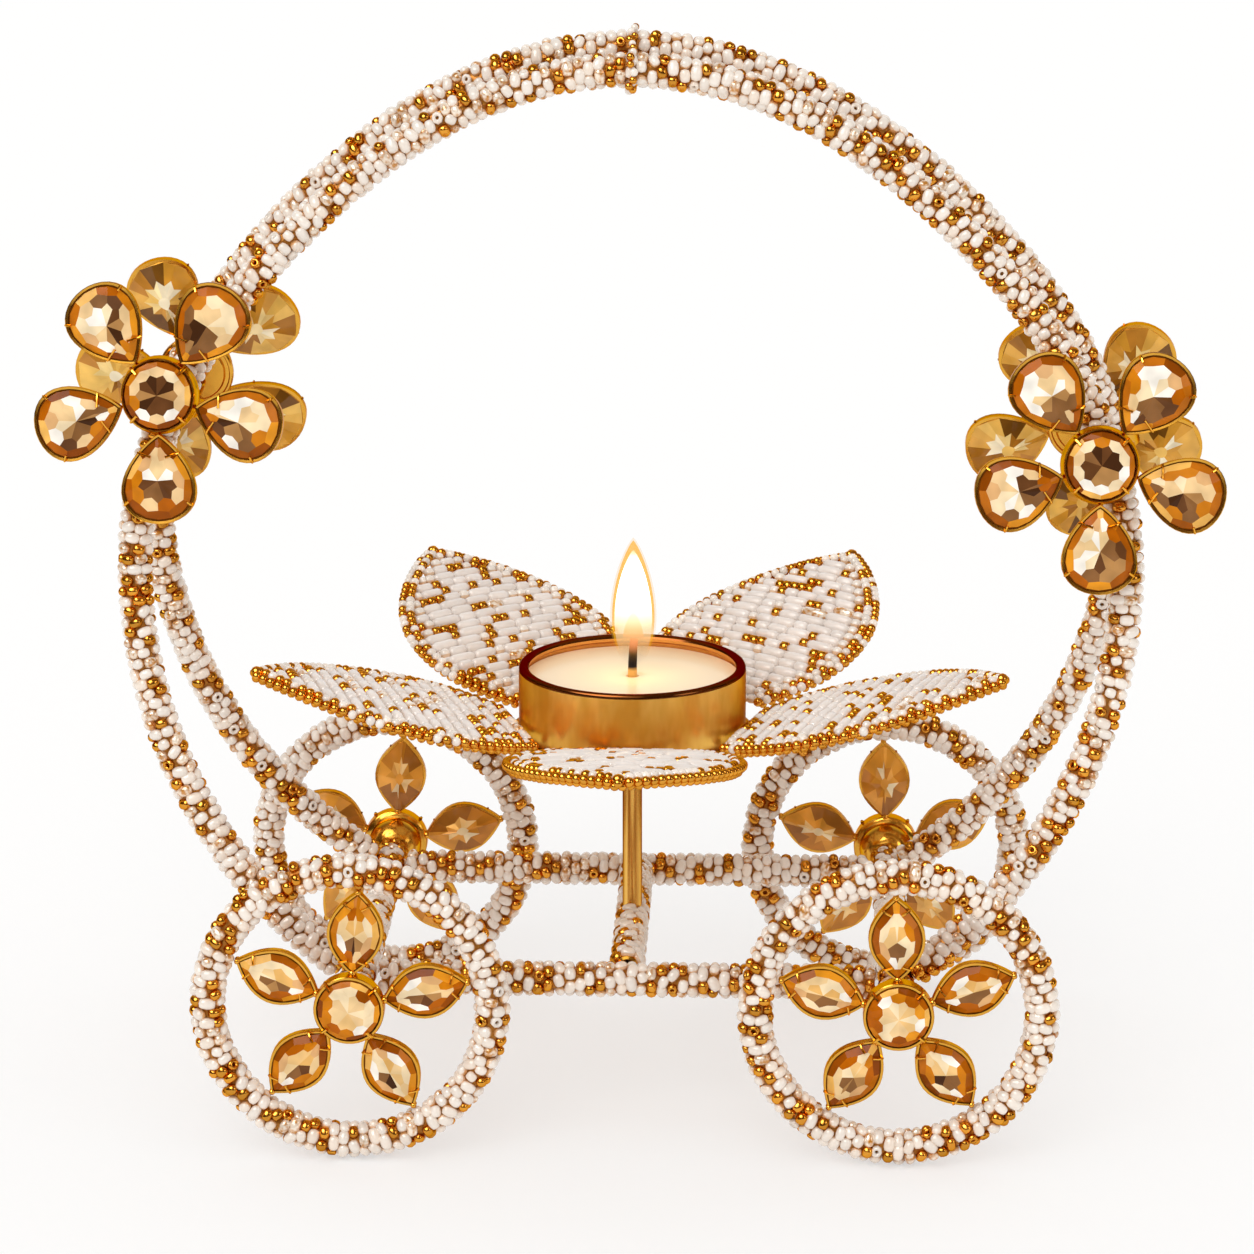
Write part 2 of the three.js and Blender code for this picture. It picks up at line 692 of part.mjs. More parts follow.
// The leaf is a curved plate that starts on the tealight's circle and ends in a blunt tip. Its top
// has a ridge for each row of beads that runs across it.
function leafPlate(rise) {
  const side = leafSide(edgingDiameter + gap, leafInner, 0.8, 60);
  const root = side[0];
  const tip = side[side.length - 1];
  const widthAt = (reach) => {
    const next = Math.max(1, side.findIndex((p) => p.x >= reach));
    const [a, b] = [side[next - 1], side[next]];
    return a.y + (b.y - a.y) * (reach - a.x) / (b.x - a.x);
  };
  const positions = [];
  const addLine = (points, offset) => points.map(([x, y]) => {
    positions.push(x, y, leafSurface(x, y, rise) + offset);
    return positions.length / 3 - 1;
  });
  const half = leafThickness / 2;
  const rootLine = [-1, -0.5, 0, 0.5, 1].map((v) => [Math.sqrt(leafInner ** 2 - (v * root.y) ** 2), v * root.y]);
  const across = (reach, width) => [-1, 0, 1].map((v) => [reach, v * width]);
  const top = [{ reach: root.x, line: addLine(rootLine, half) }];
  const under = [{ reach: root.x, line: addLine(rootLine, -half) }];
  const lines = Math.floor((tip.x - leafRowStart) / (leafRowPitch / 2));
  for (let i = 0; i < lines; i++) {
    const reach = leafRowStart + i * leafRowPitch / 2;
    const groove = i % 2 === 1 ? leafRowRelief : 0;
    top.push({ reach, line: addLine(across(reach, widthAt(reach)), half - groove) });
    if (i % 6 === 0) under.push({ reach, line: addLine(across(reach, widthAt(reach)), -half) });
  }
  top.push({ reach: tip.x, line: addLine(across(tip.x, tip.y), half) });
  under.push({ reach: tip.x, line: addLine(across(tip.x, tip.y), -half) });
  const faces = [];
  const marks = (line) => line.map((_, i) => i / (line.length - 1));
  const strip = (a, b) => ribbon(faces, a, b, marks(a), marks(b));
  for (let i = 0; i + 1 < top.length; i++) strip(top[i].line, top[i + 1].line);
  for (let i = 0; i + 1 < under.length; i++) strip(under[i + 1].line, under[i].line);
  strip(under[0].line, top[0].line);
  strip(top[top.length - 1].line, under[under.length - 1].line);
  const reaches = (rows) => rows.map((row) => row.reach);
  const first = (rows) => rows.map((row) => row.line[0]);
  const last = (rows) => rows.map((row) => row.line[row.line.length - 1]);
  ribbon(faces, first(top), first(under), reaches(top), reaches(under));
  ribbon(faces, last(under), last(top), reaches(under), reaches(top));
  const geometry = new THREE.BufferGeometry();
  geometry.setAttribute('position', new THREE.BufferAttribute(new Float32Array(positions), 3));
  geometry.setIndex(faces);
  return facingOut(geometry);
}

// The gold edging runs from beside the dish round the tip and back.
function leafEdging(rise) {
  const inset = edgingDiameter / 2;
  const start = dishOuter + gap + inset;
  const side = leafSide(inset, start, inset, 10);
  const last = side[side.length - 1];
  const place = (reach, across) => new THREE.Vector3(reach, across, leafSurface(reach, across, rise));
  const points = [
    ...side.map((p) => place(p.x, p.y)),
    place(last.x + inset * 0.55, 0),
    ...side.reverse().map((p) => place(p.x, -p.y)),
  ];
  return tubeAlong(new THREE.CatmullRomCurve3(points), inset, 6, 22);
}

function addLeaf(parent, name, degrees, rise) {
  const leaf = new THREE.Group();
  leaf.rotation.z = THREE.MathUtils.degToRad(degrees);
  parent.add(leaf);
  put(leaf, `${name}_leaf`, leafPlate(rise), beads);
  put(leaf, `${name}_leaf_edging`, leafEdging(rise), goldBeads);
}

// Tealight

function addTealight(parent) {
  const tealight = new THREE.Group();
  tealight.position.z = dishHeight + gap;
  parent.add(tealight);
  const roll = cupRollDiameter / 2;
  const rollInner = tealightRadius - cupRollDiameter;
  const wallInner = tealightRadius - cupWall;
  const rim = tealightHeight;
  put(tealight, 'tealight_cup', revolve([
    [0, 0],
    [tealightRadius - 0.5, 0],
    [tealightRadius, 0.5],
    [tealightRadius, rim - roll * 0.6],
    [tealightRadius - roll * 0.6, rim],
    [rollInner + roll * 0.6, rim],
    [rollInner, rim - roll * 0.6],
    [rollInner, rim - roll * 1.4],
    [wallInner, rim - roll * 2],
    [wallInner, cupWall],
    [0, cupWall],
  ], 28), cupGold);
  const waxTop = rim - waxDrop - roll;
  const waxRadius = wallInner - gap;
  const waxFoot = cupWall + gap;
  const sustainerRadius = sustainerDiameter / 2;
  const bore = wickDiameter / 2 + gap;
  const footHeight = 0.8;
  const collarHeight = 4;
  const collar = bore + 0.6;
  put(tealight, 'tealight_wax', revolve([
    [sustainerRadius + gap, waxFoot],
    [waxRadius, waxFoot],
    [waxRadius, waxTop],
    [bore, waxTop - 0.3],
    [bore, waxFoot + collarHeight + gap],
    [collar + gap, waxFoot + collarHeight + gap],
    [collar + gap, waxFoot + footHeight + gap],
    [sustainerRadius + gap, waxFoot + footHeight + gap],
    [sustainerRadius + gap, waxFoot],
  ], 24), wax);
  put(tealight, 'wick_sustainer', revolve([
    [0, waxFoot],
    [sustainerRadius, waxFoot],
    [sustainerRadius, waxFoot + footHeight],
    [collar, waxFoot + footHeight],
    [collar, waxFoot + collarHeight],
    [bore, waxFoot + collarHeight],
    [bore, waxFoot + footHeight],
    [0, waxFoot + footHeight],
  ], 10), tin);
  put(tealight, 'wick', revolve([
    [0, waxFoot + footHeight + gap],
    [wickDiameter / 2, waxFoot + footHeight + gap],
    [wickDiameter / 2, waxTop + wickLength - 0.5],
    [0, waxTop + wickLength],
  ], 8), wick);
}

// Assembly

const carriage = new THREE.Group();

// The rear half is the front half turned about the post, so its left is the front half's right.
const halves = [
  {
    end: 'front',
    turn: 0,
    radius: hoopRadius,
    left: { degrees: frontLeftFlowerAngle, inset: frontLeftFlowerInset, turn: 0 },
    right: { degrees: frontRightFlowerAngle, inset: frontRightFlowerInset, turn: 0 },
  },
  {
    end: 'rear',
    turn: Math.PI,
    radius: hoopRadius + rearHoopExtra,
    left: { degrees: rearLeftFlowerAngle, inset: rearLeftFlowerInset, turn: rearLeftFlowerTurn },
    right: { degrees: rearRightFlowerAngle, inset: rearRightFlowerInset, turn: 0 },
  },
];
const tops = halves.map(({ end, turn, radius, left, right }) => {
  const half = new THREE.Group();
  half.rotation.z = turn;
  carriage.add(half);
  const seenFromFront = turn === 0 ? 1 : -1;
  addSideBar(half, end);
  addWheelPlace(half, `${end}_left_wheel`, -seenFromFront, seenFromFront * leftWheelPhase);
  addWheelPlace(half, `${end}_right_wheel`, seenFromFront, seenFromFront * rightWheelPhase);
  return addHoop(half, end, radius, [
    { name: `${end}_left_flower`, side: -seenFromFront, ...left },
    { name: `${end}_right_flower`, side: seenFromFront, ...right },
  ]);
});
addTopTie(carriage, tops[0], tops[1]);
addAxle(carriage, 'left', -1);
addAxle(carriage, 'right', 1);
addCentreBar(carriage);
addPost(carriage);
addDish(carriage);
const leafTurn = 360 / leafCount;
addLeaf(carriage, 'front', -90, frontLeafRise);
addLeaf(carriage, 'right', -90 + leafTurn, sideLeafRise);
addLeaf(carriage, 'rear_right', -90 + 2 * leafTurn, rearLeafRise);
addLeaf(carriage, 'rear_left', -90 - 2 * leafTurn, rearLeafRise);
addLeaf(carriage, 'left', -90 - leafTurn, sideLeafRise);
addTealight(carriage);

// The origin is on the ground under the middle of the whole holder.
const holder = new THREE.Group();
holder.add(carriage);
const box = new THREE.Box3().setFromObject(carriage, true);
carriage.position.set(-(box.min.x + box.max.x) / 2, -(box.min.y + box.max.y) / 2, 0);

export default holder;
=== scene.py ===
"""Looks of the beaded tealight holder: seed beads, bugle beads, set jewels, gilt fittings, a lit candle.

Everything is modelled in millimetres about the candle post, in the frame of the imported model, and
is brought to metres when a piece is finished. The wheels stand on z = 0 and the front is -Y.
"""

import enum
import logging
import math
import random
import zlib
from abc import ABC, abstractmethod
from dataclasses import dataclass
from functools import cache
from typing import Callable, Mapping, Sequence

import bmesh
import bpy
import numpy as np
from bmesh.types import BMEdge, BMesh, BMFace, BMLayerItem, BMVert
from bpy.types import Material, Node, NodeSocket, NodeTree, Object
from mathutils import Matrix, Vector, noise


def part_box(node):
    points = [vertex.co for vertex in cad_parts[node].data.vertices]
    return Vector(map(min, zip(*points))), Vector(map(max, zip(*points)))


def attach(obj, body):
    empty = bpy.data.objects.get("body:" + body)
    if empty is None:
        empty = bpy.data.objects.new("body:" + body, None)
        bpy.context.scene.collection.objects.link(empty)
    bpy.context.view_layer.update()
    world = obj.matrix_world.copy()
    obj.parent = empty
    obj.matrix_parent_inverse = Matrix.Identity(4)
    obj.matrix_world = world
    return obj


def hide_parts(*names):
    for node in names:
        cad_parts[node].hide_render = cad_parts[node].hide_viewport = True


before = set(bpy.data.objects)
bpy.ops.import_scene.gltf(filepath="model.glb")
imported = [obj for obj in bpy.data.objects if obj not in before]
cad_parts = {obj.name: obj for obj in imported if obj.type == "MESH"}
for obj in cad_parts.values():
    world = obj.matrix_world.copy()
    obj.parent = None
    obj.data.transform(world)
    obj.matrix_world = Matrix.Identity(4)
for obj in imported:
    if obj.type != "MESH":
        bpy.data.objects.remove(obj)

LOG = logging.getLogger("tealight_holder")
MM = 0.001
UP = Vector((0.0, 0.0, 1.0))
AXIS = (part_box("candle_dish")[0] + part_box("candle_dish")[1]) / 2
TO_FRAME = Matrix.Translation((AXIS.x, AXIS.y, 0.0)) @ Matrix.Scale(MM, 4)

IN_PLACE = Matrix.Identity(4)
WHITE = (1.0, 1.0, 1.0, 1.0)
FACTOR, FIRST, SECOND, BLEND = 0, 6, 7, 2  # sockets of a colour Mix node: three inputs and its output

AXLE_X, AXLE_Z = 44.0, 26.0  # middle of an axle, to the side and above the ground
WHEEL_Y = 42.0               # middle of a wheel's ring, before and behind the post
FOOT_Y = 28.0                # middle line of the side bars and of the hoops' feet

Color = tuple[float, float, float, float]
Outline = list[tuple[float, float]]


@cache
def linear(code: str) -> Color:
    """Turns a colour as it is seen into the renderer's linear light.

    Args:
        code: Six hex digits of an sRGB colour.

    Returns:
        Linear red, green and blue, and an alpha of 1.
    """
    parts = [int(code[i:i + 2], 16) / 255 for i in (0, 2, 4)]
    low = [c / 12.92 if c <= 0.04045 else ((c + 0.055) / 1.055) ** 2.4 for c in parts]
    return low[0], low[1], low[2], 1.0


def scale_of(grain: float) -> float:
    """Gives a texture's scale from the size of its grain in millimetres."""
    return 1 / (grain * MM)


def add_node(
    tree: NodeTree,
    kind: str,
    inputs: Mapping[str | int, object] | None = None,
    **settings: object,
) -> Node:
    """Adds a node with its settings, its values and its links.

    Args:
        tree: Node tree that gets the node.
        kind: Blender's name of the node type.
        inputs: Value, or output socket to link, for each input by name or number.
        **settings: Properties of the node itself.

    Returns:
        The new node.
    """
    node = tree.nodes.new(kind)
    for key, value in settings.items():
        setattr(node, key, value)
    for key, value in (inputs or {}).items():
        if isinstance(value, NodeSocket):
            tree.links.new(value, node.inputs[key])
        else:
            node.inputs[key].default_value = value
    return node


@dataclass(frozen=True)
class Finish(ABC):
    """A material of the real object, with the values that all of them have."""

    name: str
    color: str
    roughness: float
    metallic: float = 0.0

    def build(self) -> Material:
        """Makes the material.

        Returns:
            A node material that is named for the real one.
        """
        material = bpy.data.materials.new(self.name)
        material.use_nodes = True
        tree = material.node_tree
        surface = tree.nodes["Principled BSDF"]
        surface.inputs["Base Color"].default_value = linear(self.color)
        surface.inputs["Roughness"].default_value = self.roughness
        surface.inputs["Metallic"].default_value = self.metallic
        place = add_node(tree, "ShaderNodeTexCoord").outputs["Object"]
        self.dress(tree, surface, place)
        return material

    @abstractmethod
    def dress(self, tree: NodeTree, surface: Node, place: NodeSocket) -> None:
        """Adds what the finish shows beyond its plain values."""

    @staticmethod
    def tinted(tree: NodeTree, body: NodeSocket | Color) -> NodeSocket:
        """Multiplies a colour by the tint that the faces of each bead carry: a tone that differs at random,
        and on white and clear seed beads also a painted shade at their foot.
        """
        tint = add_node(tree, "ShaderNodeAttribute", attribute_name="tint")
        return add_node(
            tree, "ShaderNodeMix",
            {FACTOR: 1.0, FIRST: body, SECOND: tint.outputs["Color"]},
            data_type="RGBA", blend_type="MULTIPLY",
        ).outputs[BLEND]


@dataclass(frozen=True)
class PearlGlass(Finish):
    """Opaque pressed glass, fire polished. The eye gets milk-white lumps with a soft highlight each."""

    veil: str = "F4E6D8"
    grain: float = 1.2
    coat: float = 0.5

    def dress(self, tree: NodeTree, surface: Node, place: NodeSocket) -> None:
        """Clouds the glass a little and gives each bead its own tint."""
        cloud = add_node(
            tree, "ShaderNodeTexNoise",
            {"Vector": place, "Scale": scale_of(self.grain), "Detail": 2.0},
        )
        body = add_node(
            tree, "ShaderNodeMix",
            {FACTOR: cloud.outputs["Fac"], FIRST: linear(self.color), SECOND: linear(self.veil)},
            data_type="RGBA",
        )
        lumps = add_node(
            tree, "ShaderNodeBump",
            {"Height": cloud.outputs["Fac"], "Strength": 0.35, "Distance": 0.12 * MM},
        )
        tree.links.new(self.tinted(tree, body.outputs[BLEND]), surface.inputs["Base Color"])
        tree.links.new(lumps.outputs["Normal"], surface.inputs["Normal"])
        surface.inputs["Coat Weight"].default_value = self.coat
        surface.inputs["Coat Roughness"].default_value = 0.08


@dataclass(frozen=True)
class LinedGlass(Finish):
    """Clear glass lined with gold. The eye gets a pale wet bead with amber where the lining comes near."""

    lining: str = "D08C36"
    grain: float = 0.85

    def dress(self, tree: NodeTree, surface: Node, place: NodeSocket) -> None:
        """Lets the lining shine through in spots and tints each bead."""
        spots = add_node(
            tree, "ShaderNodeTexNoise",
            {"Vector": place, "Scale": scale_of(self.grain), "Detail": 1.0},
        )
        amount = add_node(
            tree, "ShaderNodeMapRange", {"Value": spots.outputs["Fac"], "From Min": 0.42, "From Max": 0.66},
        )
        body = add_node(
            tree, "ShaderNodeMix",
            {FACTOR: amount.outputs["Result"], FIRST: linear(self.color), SECOND: linear(self.lining)},
            data_type="RGBA",
        )
        tree.links.new(self.tinted(tree, body.outputs[BLEND]), surface.inputs["Base Color"])
        surface.inputs["Coat Weight"].default_value = 1.0
        surface.inputs["Coat Roughness"].default_value = 0.04
        surface.inputs["Coat IOR"].default_value = 1.6


@dataclass(frozen=True)
class Gilt(Finish):
    """Electroplated gold over a tumbled base. The eye gets warm mirrors with faint waves and dull spots."""

    grain: float = 1.6
    wave: float = 0.04
    dull: float = 0.12
    edge: str = "E0B070"

    def dress(self, tree: NodeTree, surface: Node, place: NodeSocket) -> None:
        """Waves the plating, dulls it in spots and lets every bead differ."""
        cloud = add_node(
            tree, "ShaderNodeTexNoise",
            {"Vector": place, "Scale": scale_of(self.grain), "Detail": 3.0},
        )
        rough = add_node(
            tree, "ShaderNodeMapRange",
            {"Value": cloud.outputs["Fac"], "From Min": 0.3, "From Max": 0.7,
             "To Min": self.roughness, "To Max": self.roughness + self.dull},
        )
        waves = add_node(
            tree, "ShaderNodeBump",
            {"Height": cloud.outputs["Fac"], "Strength": 0.4, "Distance": self.wave * MM},
        )
        tree.links.new(self.tinted(tree, linear(self.color)), surface.inputs["Base Color"])
        tree.links.new(rough.outputs["Result"], surface.inputs["Roughness"])
        tree.links.new(waves.outputs["Normal"], surface.inputs["Normal"])
        surface.inputs["Specular Tint"].default_value = linear(self.edge)


@dataclass(frozen=True)
class WoundWire(Finish):
    """Brass wire wound over the strand's core. The eye gets brown-gold threads deep between the beads."""

    shade: str = "2E1A08"
    thread: float = 0.45

    def dress(self, tree: NodeTree, surface: Node, place: NodeSocket) -> None:
        """Draws the threads of the winding as coarse as the render can show them."""
        threads = add_node(
            tree, "ShaderNodeTexNoise",
            {"Vector": place, "Scale": scale_of(self.thread), "Detail": 2.0, "Distortion": 0.6},
        )
        body = add_node(
            tree, "ShaderNodeMix",
            {FACTOR: threads.outputs["Fac"], FIRST: linear(self.color), SECOND: linear(self.shade)},
            data_type="RGBA",
        )
        ridges = add_node(
            tree, "ShaderNodeBump",
            {"Height": threads.outputs["Fac"], "Strength": 0.7, "Distance": 0.15 * MM},
        )
        tree.links.new(body.outputs[BLEND], surface.inputs["Base Color"])
        tree.links.new(ridges.outputs["Normal"], surface.inputs["Normal"])


@dataclass(frozen=True)
class CutGlass(Finish):
    """Machine-cut glass over foil. The eye gets flat facets, each one tone, under a clear wet gloss; the
    tones are painted reflection and shade of the foil.
    """

    coat: float = 1.0
    speck: float = 3.0

    def dress(self, tree: NodeTree, surface: Node, place: NodeSocket) -> None:
        """Colours each facet from its own tint, which holds the painted reflection and shade, with a slow
        drift inside the facet.
        """
        tint = add_node(tree, "ShaderNodeAttribute", attribute_name="tint")
        drift = add_node(
            tree, "ShaderNodeTexNoise",
            {"Vector": place, "Scale": scale_of(self.speck), "Detail": 1.0},
        )
        level = add_node(
            tree, "ShaderNodeMapRange",
            {"Value": drift.outputs["Fac"], "From Min": 0.3, "From Max": 0.7, "To Min": 0.82, "To Max": 1.12},
        )
        own = add_node(
            tree, "ShaderNodeVectorMath", {0: tint.outputs["Color"], "Scale": level.outputs["Result"]},
            operation="SCALE",
        )
        tree.links.new(own.outputs["Vector"], surface.inputs["Base Color"])
        surface.inputs["Coat Weight"].default_value = self.coat
        surface.inputs["Coat Roughness"].default_value = 0.03
        surface.inputs["Coat IOR"].default_value = 1.55
        surface.inputs["Specular IOR Level"].default_value = 0.05


@dataclass(frozen=True)
class StreakedGold(Finish):
    """Spun brass under gold lacquer. The eye gets a satin sheen with soft streaks up the wall, darker and
    rougher; on the cup the dark streaks are painted reflections.
    """

    shade: str = "8F5A16"
    streak: float = 7.0
    height: float = 30.0
    low: float = 0.35
    high: float = 0.65
    edge: str = "B87C34"
    brush: float = 0.5

    def dress(self, tree: NodeTree, surface: Node, place: NodeSocket) -> None:
        """Draws the streaks in noise that is far longer upwards than round the wall."""
        round_wall, upwards = scale_of(self.streak), scale_of(self.height)
        stretch = add_node(
            tree, "ShaderNodeMapping", {"Vector": place, "Scale": (round_wall, round_wall, upwards)},
        )
        streaks = add_node(
            tree, "ShaderNodeTexNoise", {"Vector": stretch.outputs["Vector"], "Scale": 1.0, "Detail": 3.0},
        )
        amount = add_node(
            tree, "ShaderNodeMapRange",
            {"Value": streaks.outputs["Fac"], "From Min": self.low, "From Max": self.high},
        )
        # The streaks darken the colour towards the shade colour: painted reflection on the cup.
        body = add_node(
            tree, "ShaderNodeMix",
            {FACTOR: amount.outputs["Result"], FIRST: linear(self.color), SECOND: linear(self.shade)},
            data_type="RGBA",
        )
        brushed = add_node(
            tree, "ShaderNodeTexNoise",
            {"Vector": place, "Scale": scale_of(self.brush), "Detail": 2.0},
        )
        satin = add_node(
            tree, "ShaderNodeBump",
            {"Height": brushed.outputs["Fac"], "Strength": 0.12, "Distance": 0.04 * MM},
        )
        rough = add_node(
            tree, "ShaderNodeMapRange",
            {"Value": amount.outputs["Result"], "To Min": self.roughness, "To Max": self.roughness + 0.12},
        )
        tree.links.new(body.outputs[BLEND], surface.inputs["Base Color"])
        tree.links.new(rough.outputs["Result"], surface.inputs["Roughness"])
        tree.links.new(satin.outputs["Normal"], surface.inputs["Normal"])
        surface.inputs["Specular Tint"].default_value = linear(self.edge)


@dataclass(frozen=True)
class CandleWax(Finish):
    """Paraffin wax with a melted dip round the wick. The eye gets cream wax that glows yellow round the wick,
    in part the melted wax and in part painted flame light with a painted glow.
    """

    pool_and_painted_flame_light: str = "FFE9B4"
    glow: float = 0.10
    reach: float = 13.0
    wick_height: float = 69.5
    grain: float = 6.0

    def dress(self, tree: NodeTree, surface: Node, place: NodeSocket) -> None:
        """Paints the flame's light into the wax towards the wick: a yellower colour and a faint glow."""
        reach = self.reach * MM
        middle = (-AXIS.x / reach, -AXIS.y / reach, -self.wick_height / self.reach)
        centred = add_node(
            tree, "ShaderNodeMapping", {"Vector": place, "Location": middle, "Scale": (1 / reach,) * 3},
        )
        near = add_node(
            tree, "ShaderNodeTexGradient", {"Vector": centred.outputs["Vector"]}, gradient_type="SPHERICAL",
        )
        body = add_node(
            tree, "ShaderNodeMix",
            {FACTOR: near.outputs["Fac"], FIRST: linear(self.color), SECOND: linear(self.pool_and_painted_flame_light)},
            data_type="RGBA",
        )
        # Painted glow: the wax near the wick gives off a little light, though it is no lamp.
        light = add_node(
            tree, "ShaderNodeMath", {0: near.outputs["Fac"], 1: self.glow}, operation="MULTIPLY",
        )
        cloud = add_node(
            tree, "ShaderNodeTexNoise",
            {"Vector": place, "Scale": scale_of(self.grain), "Detail": 2.0},
        )
        soft = add_node(
            tree, "ShaderNodeBump", {"Height": cloud.outputs["Fac"], "Strength": 0.2, "Distance": 0.3 * MM},
        )
        tree.links.new(body.outputs[BLEND], surface.inputs["Base Color"])
        tree.links.new(body.outputs[BLEND], surface.inputs["Emission Color"])
        tree.links.new(light.outputs["Value"], surface.inputs["Emission Strength"])
        tree.links.new(soft.outputs["Normal"], surface.inputs["Normal"])
        surface.inputs["Coat Weight"].default_value = 0.35
        surface.inputs["Coat Roughness"].default_value = 0.12


@dataclass(frozen=True)
class CharredCotton(Finish):
    """Braided cotton, soaked in wax below, charred above. The eye gets pale, then black, then a glow."""

    soaked: str = "F2B45C"
    ember: str = "FF6A10"
    burnt: float = 70.9
    change: float = 0.35
    tip: float = 75.9
    hot_length: float = 2.8
    heat: float = 0.9
    braid: float = 220.0

    def dress(self, tree: NodeTree, surface: Node, place: NodeSocket) -> None:
        """Changes the colour with the height above the wax."""
        height = add_node(tree, "ShaderNodeSeparateXYZ", {"Vector": place}).outputs["Z"]
        char = add_node(
            tree, "ShaderNodeMapRange",
            {"Value": height, "From Min": (self.burnt - self.change) * MM,
             "From Max": (self.burnt + self.change) * MM},
        )
        body = add_node(
            tree, "ShaderNodeMix",
            {FACTOR: char.outputs["Result"], FIRST: linear(self.soaked), SECOND: linear(self.color)},
            data_type="RGBA",
        )
        heat = add_node(
            tree, "ShaderNodeMapRange",
            {"Value": height, "From Min": (self.tip - self.hot_length) * MM, "From Max": self.tip * MM,
             "To Min": 0.0, "To Max": self.heat},
            interpolation_type="SMOOTHSTEP",
        )
        braid = add_node(
            tree, "ShaderNodeTexWave", {"Vector": place, "Scale": self.braid, "Distortion": 1.5},
            bands_direction="DIAGONAL",
        )
        rope = add_node(
            tree, "ShaderNodeBump", {"Height": braid.outputs["Fac"], "Strength": 0.6, "Distance": 0.15 * MM},
        )
        tree.links.new(body.outputs[BLEND], surface.inputs["Base Color"])
        tree.links.new(heat.outputs["Result"], surface.inputs["Emission Strength"])
        tree.links.new(rope.outputs["Normal"], surface.inputs["Normal"])
        surface.inputs["Emission Color"].default_value = linear(self.ember)


@dataclass(frozen=True)
class FlameGas(Finish):
    """Burning wax vapour. The eye gets light that thickens from the wick's clear zone up to the body.

    All heights are in millimetres above the ground: the gas comes in from start to full, thins out from
    thin to gone, and its light grows by the factor bright from bright_start to bright_full.
    """

    strength: float = 1.0
    alpha: float = 1.0
    start: float = 72.0
    full: float = 80.0
    thin: float = 100.0
    gone: float = 101.0
    bright: float = 1.0
    bright_start: float = 76.0
    bright_full: float = 88.0

    def dress(self, tree: NodeTree, surface: Node, place: NodeSocket) -> None:
        """Fades the gas in with the height, and out again where it thins."""
        height = add_node(tree, "ShaderNodeSeparateXYZ", {"Vector": place}).outputs["Z"]
        fade = add_node(
            tree, "ShaderNodeMapRange",
            {"Value": height, "From Min": self.start * MM, "From Max": self.full * MM, "To Max": self.alpha},
            interpolation_type="SMOOTHSTEP",
        )
        left = add_node(
            tree, "ShaderNodeMapRange",
            {"Value": height, "From Min": self.thin * MM, "From Max": self.gone * MM,
             "To Min": 1.0, "To Max": 0.0},
            interpolation_type="SMOOTHSTEP",
        )
        amount = add_node(
            tree, "ShaderNodeMath", {0: fade.outputs["Result"], 1: left.outputs["Result"]},
            operation="MULTIPLY",
        )
        tree.links.new(amount.outputs["Value"], surface.inputs["Alpha"])
        surface.inputs["Base Color"].default_value = (0.0, 0.0, 0.0, 1.0)
        surface.inputs["Specular IOR Level"].default_value = 0.0
        surface.inputs["Emission Color"].default_value = linear(self.color)
        light = add_node(
            tree, "ShaderNodeMapRange",
            {"Value": height, "From Min": self.bright_start * MM, "From Max": self.bright_full * MM,
             "To Min": self.strength, "To Max": self.strength * self.bright},
            interpolation_type="SMOOTHSTEP",
        )
        tree.links.new(light.outputs["Result"], surface.inputs["Emission Strength"])


@dataclass(frozen=True)
class DrawnSteel(Finish):
    """Drawn steel rod, wiped clean. The eye gets a grey metal with fine scuffs."""

    scuff: float = 0.4

    def dress(self, tree: NodeTree, surface: Node, place: NodeSocket) -> None:
        """Scuffs the drawn surface."""
        scuffs = add_node(
            tree, "ShaderNodeTexNoise",
            {"Vector": place, "Scale": scale_of(self.scuff), "Detail": 3.0},
        )
        rough = add_node(
            tree, "ShaderNodeMapRange",
            {"Value": scuffs.outputs["Fac"], "To Min": self.roughness - 0.1, "To Max": self.roughness + 0.15},
        )
        tree.links.new(rough.outputs["Result"], surface.inputs["Roughness"])


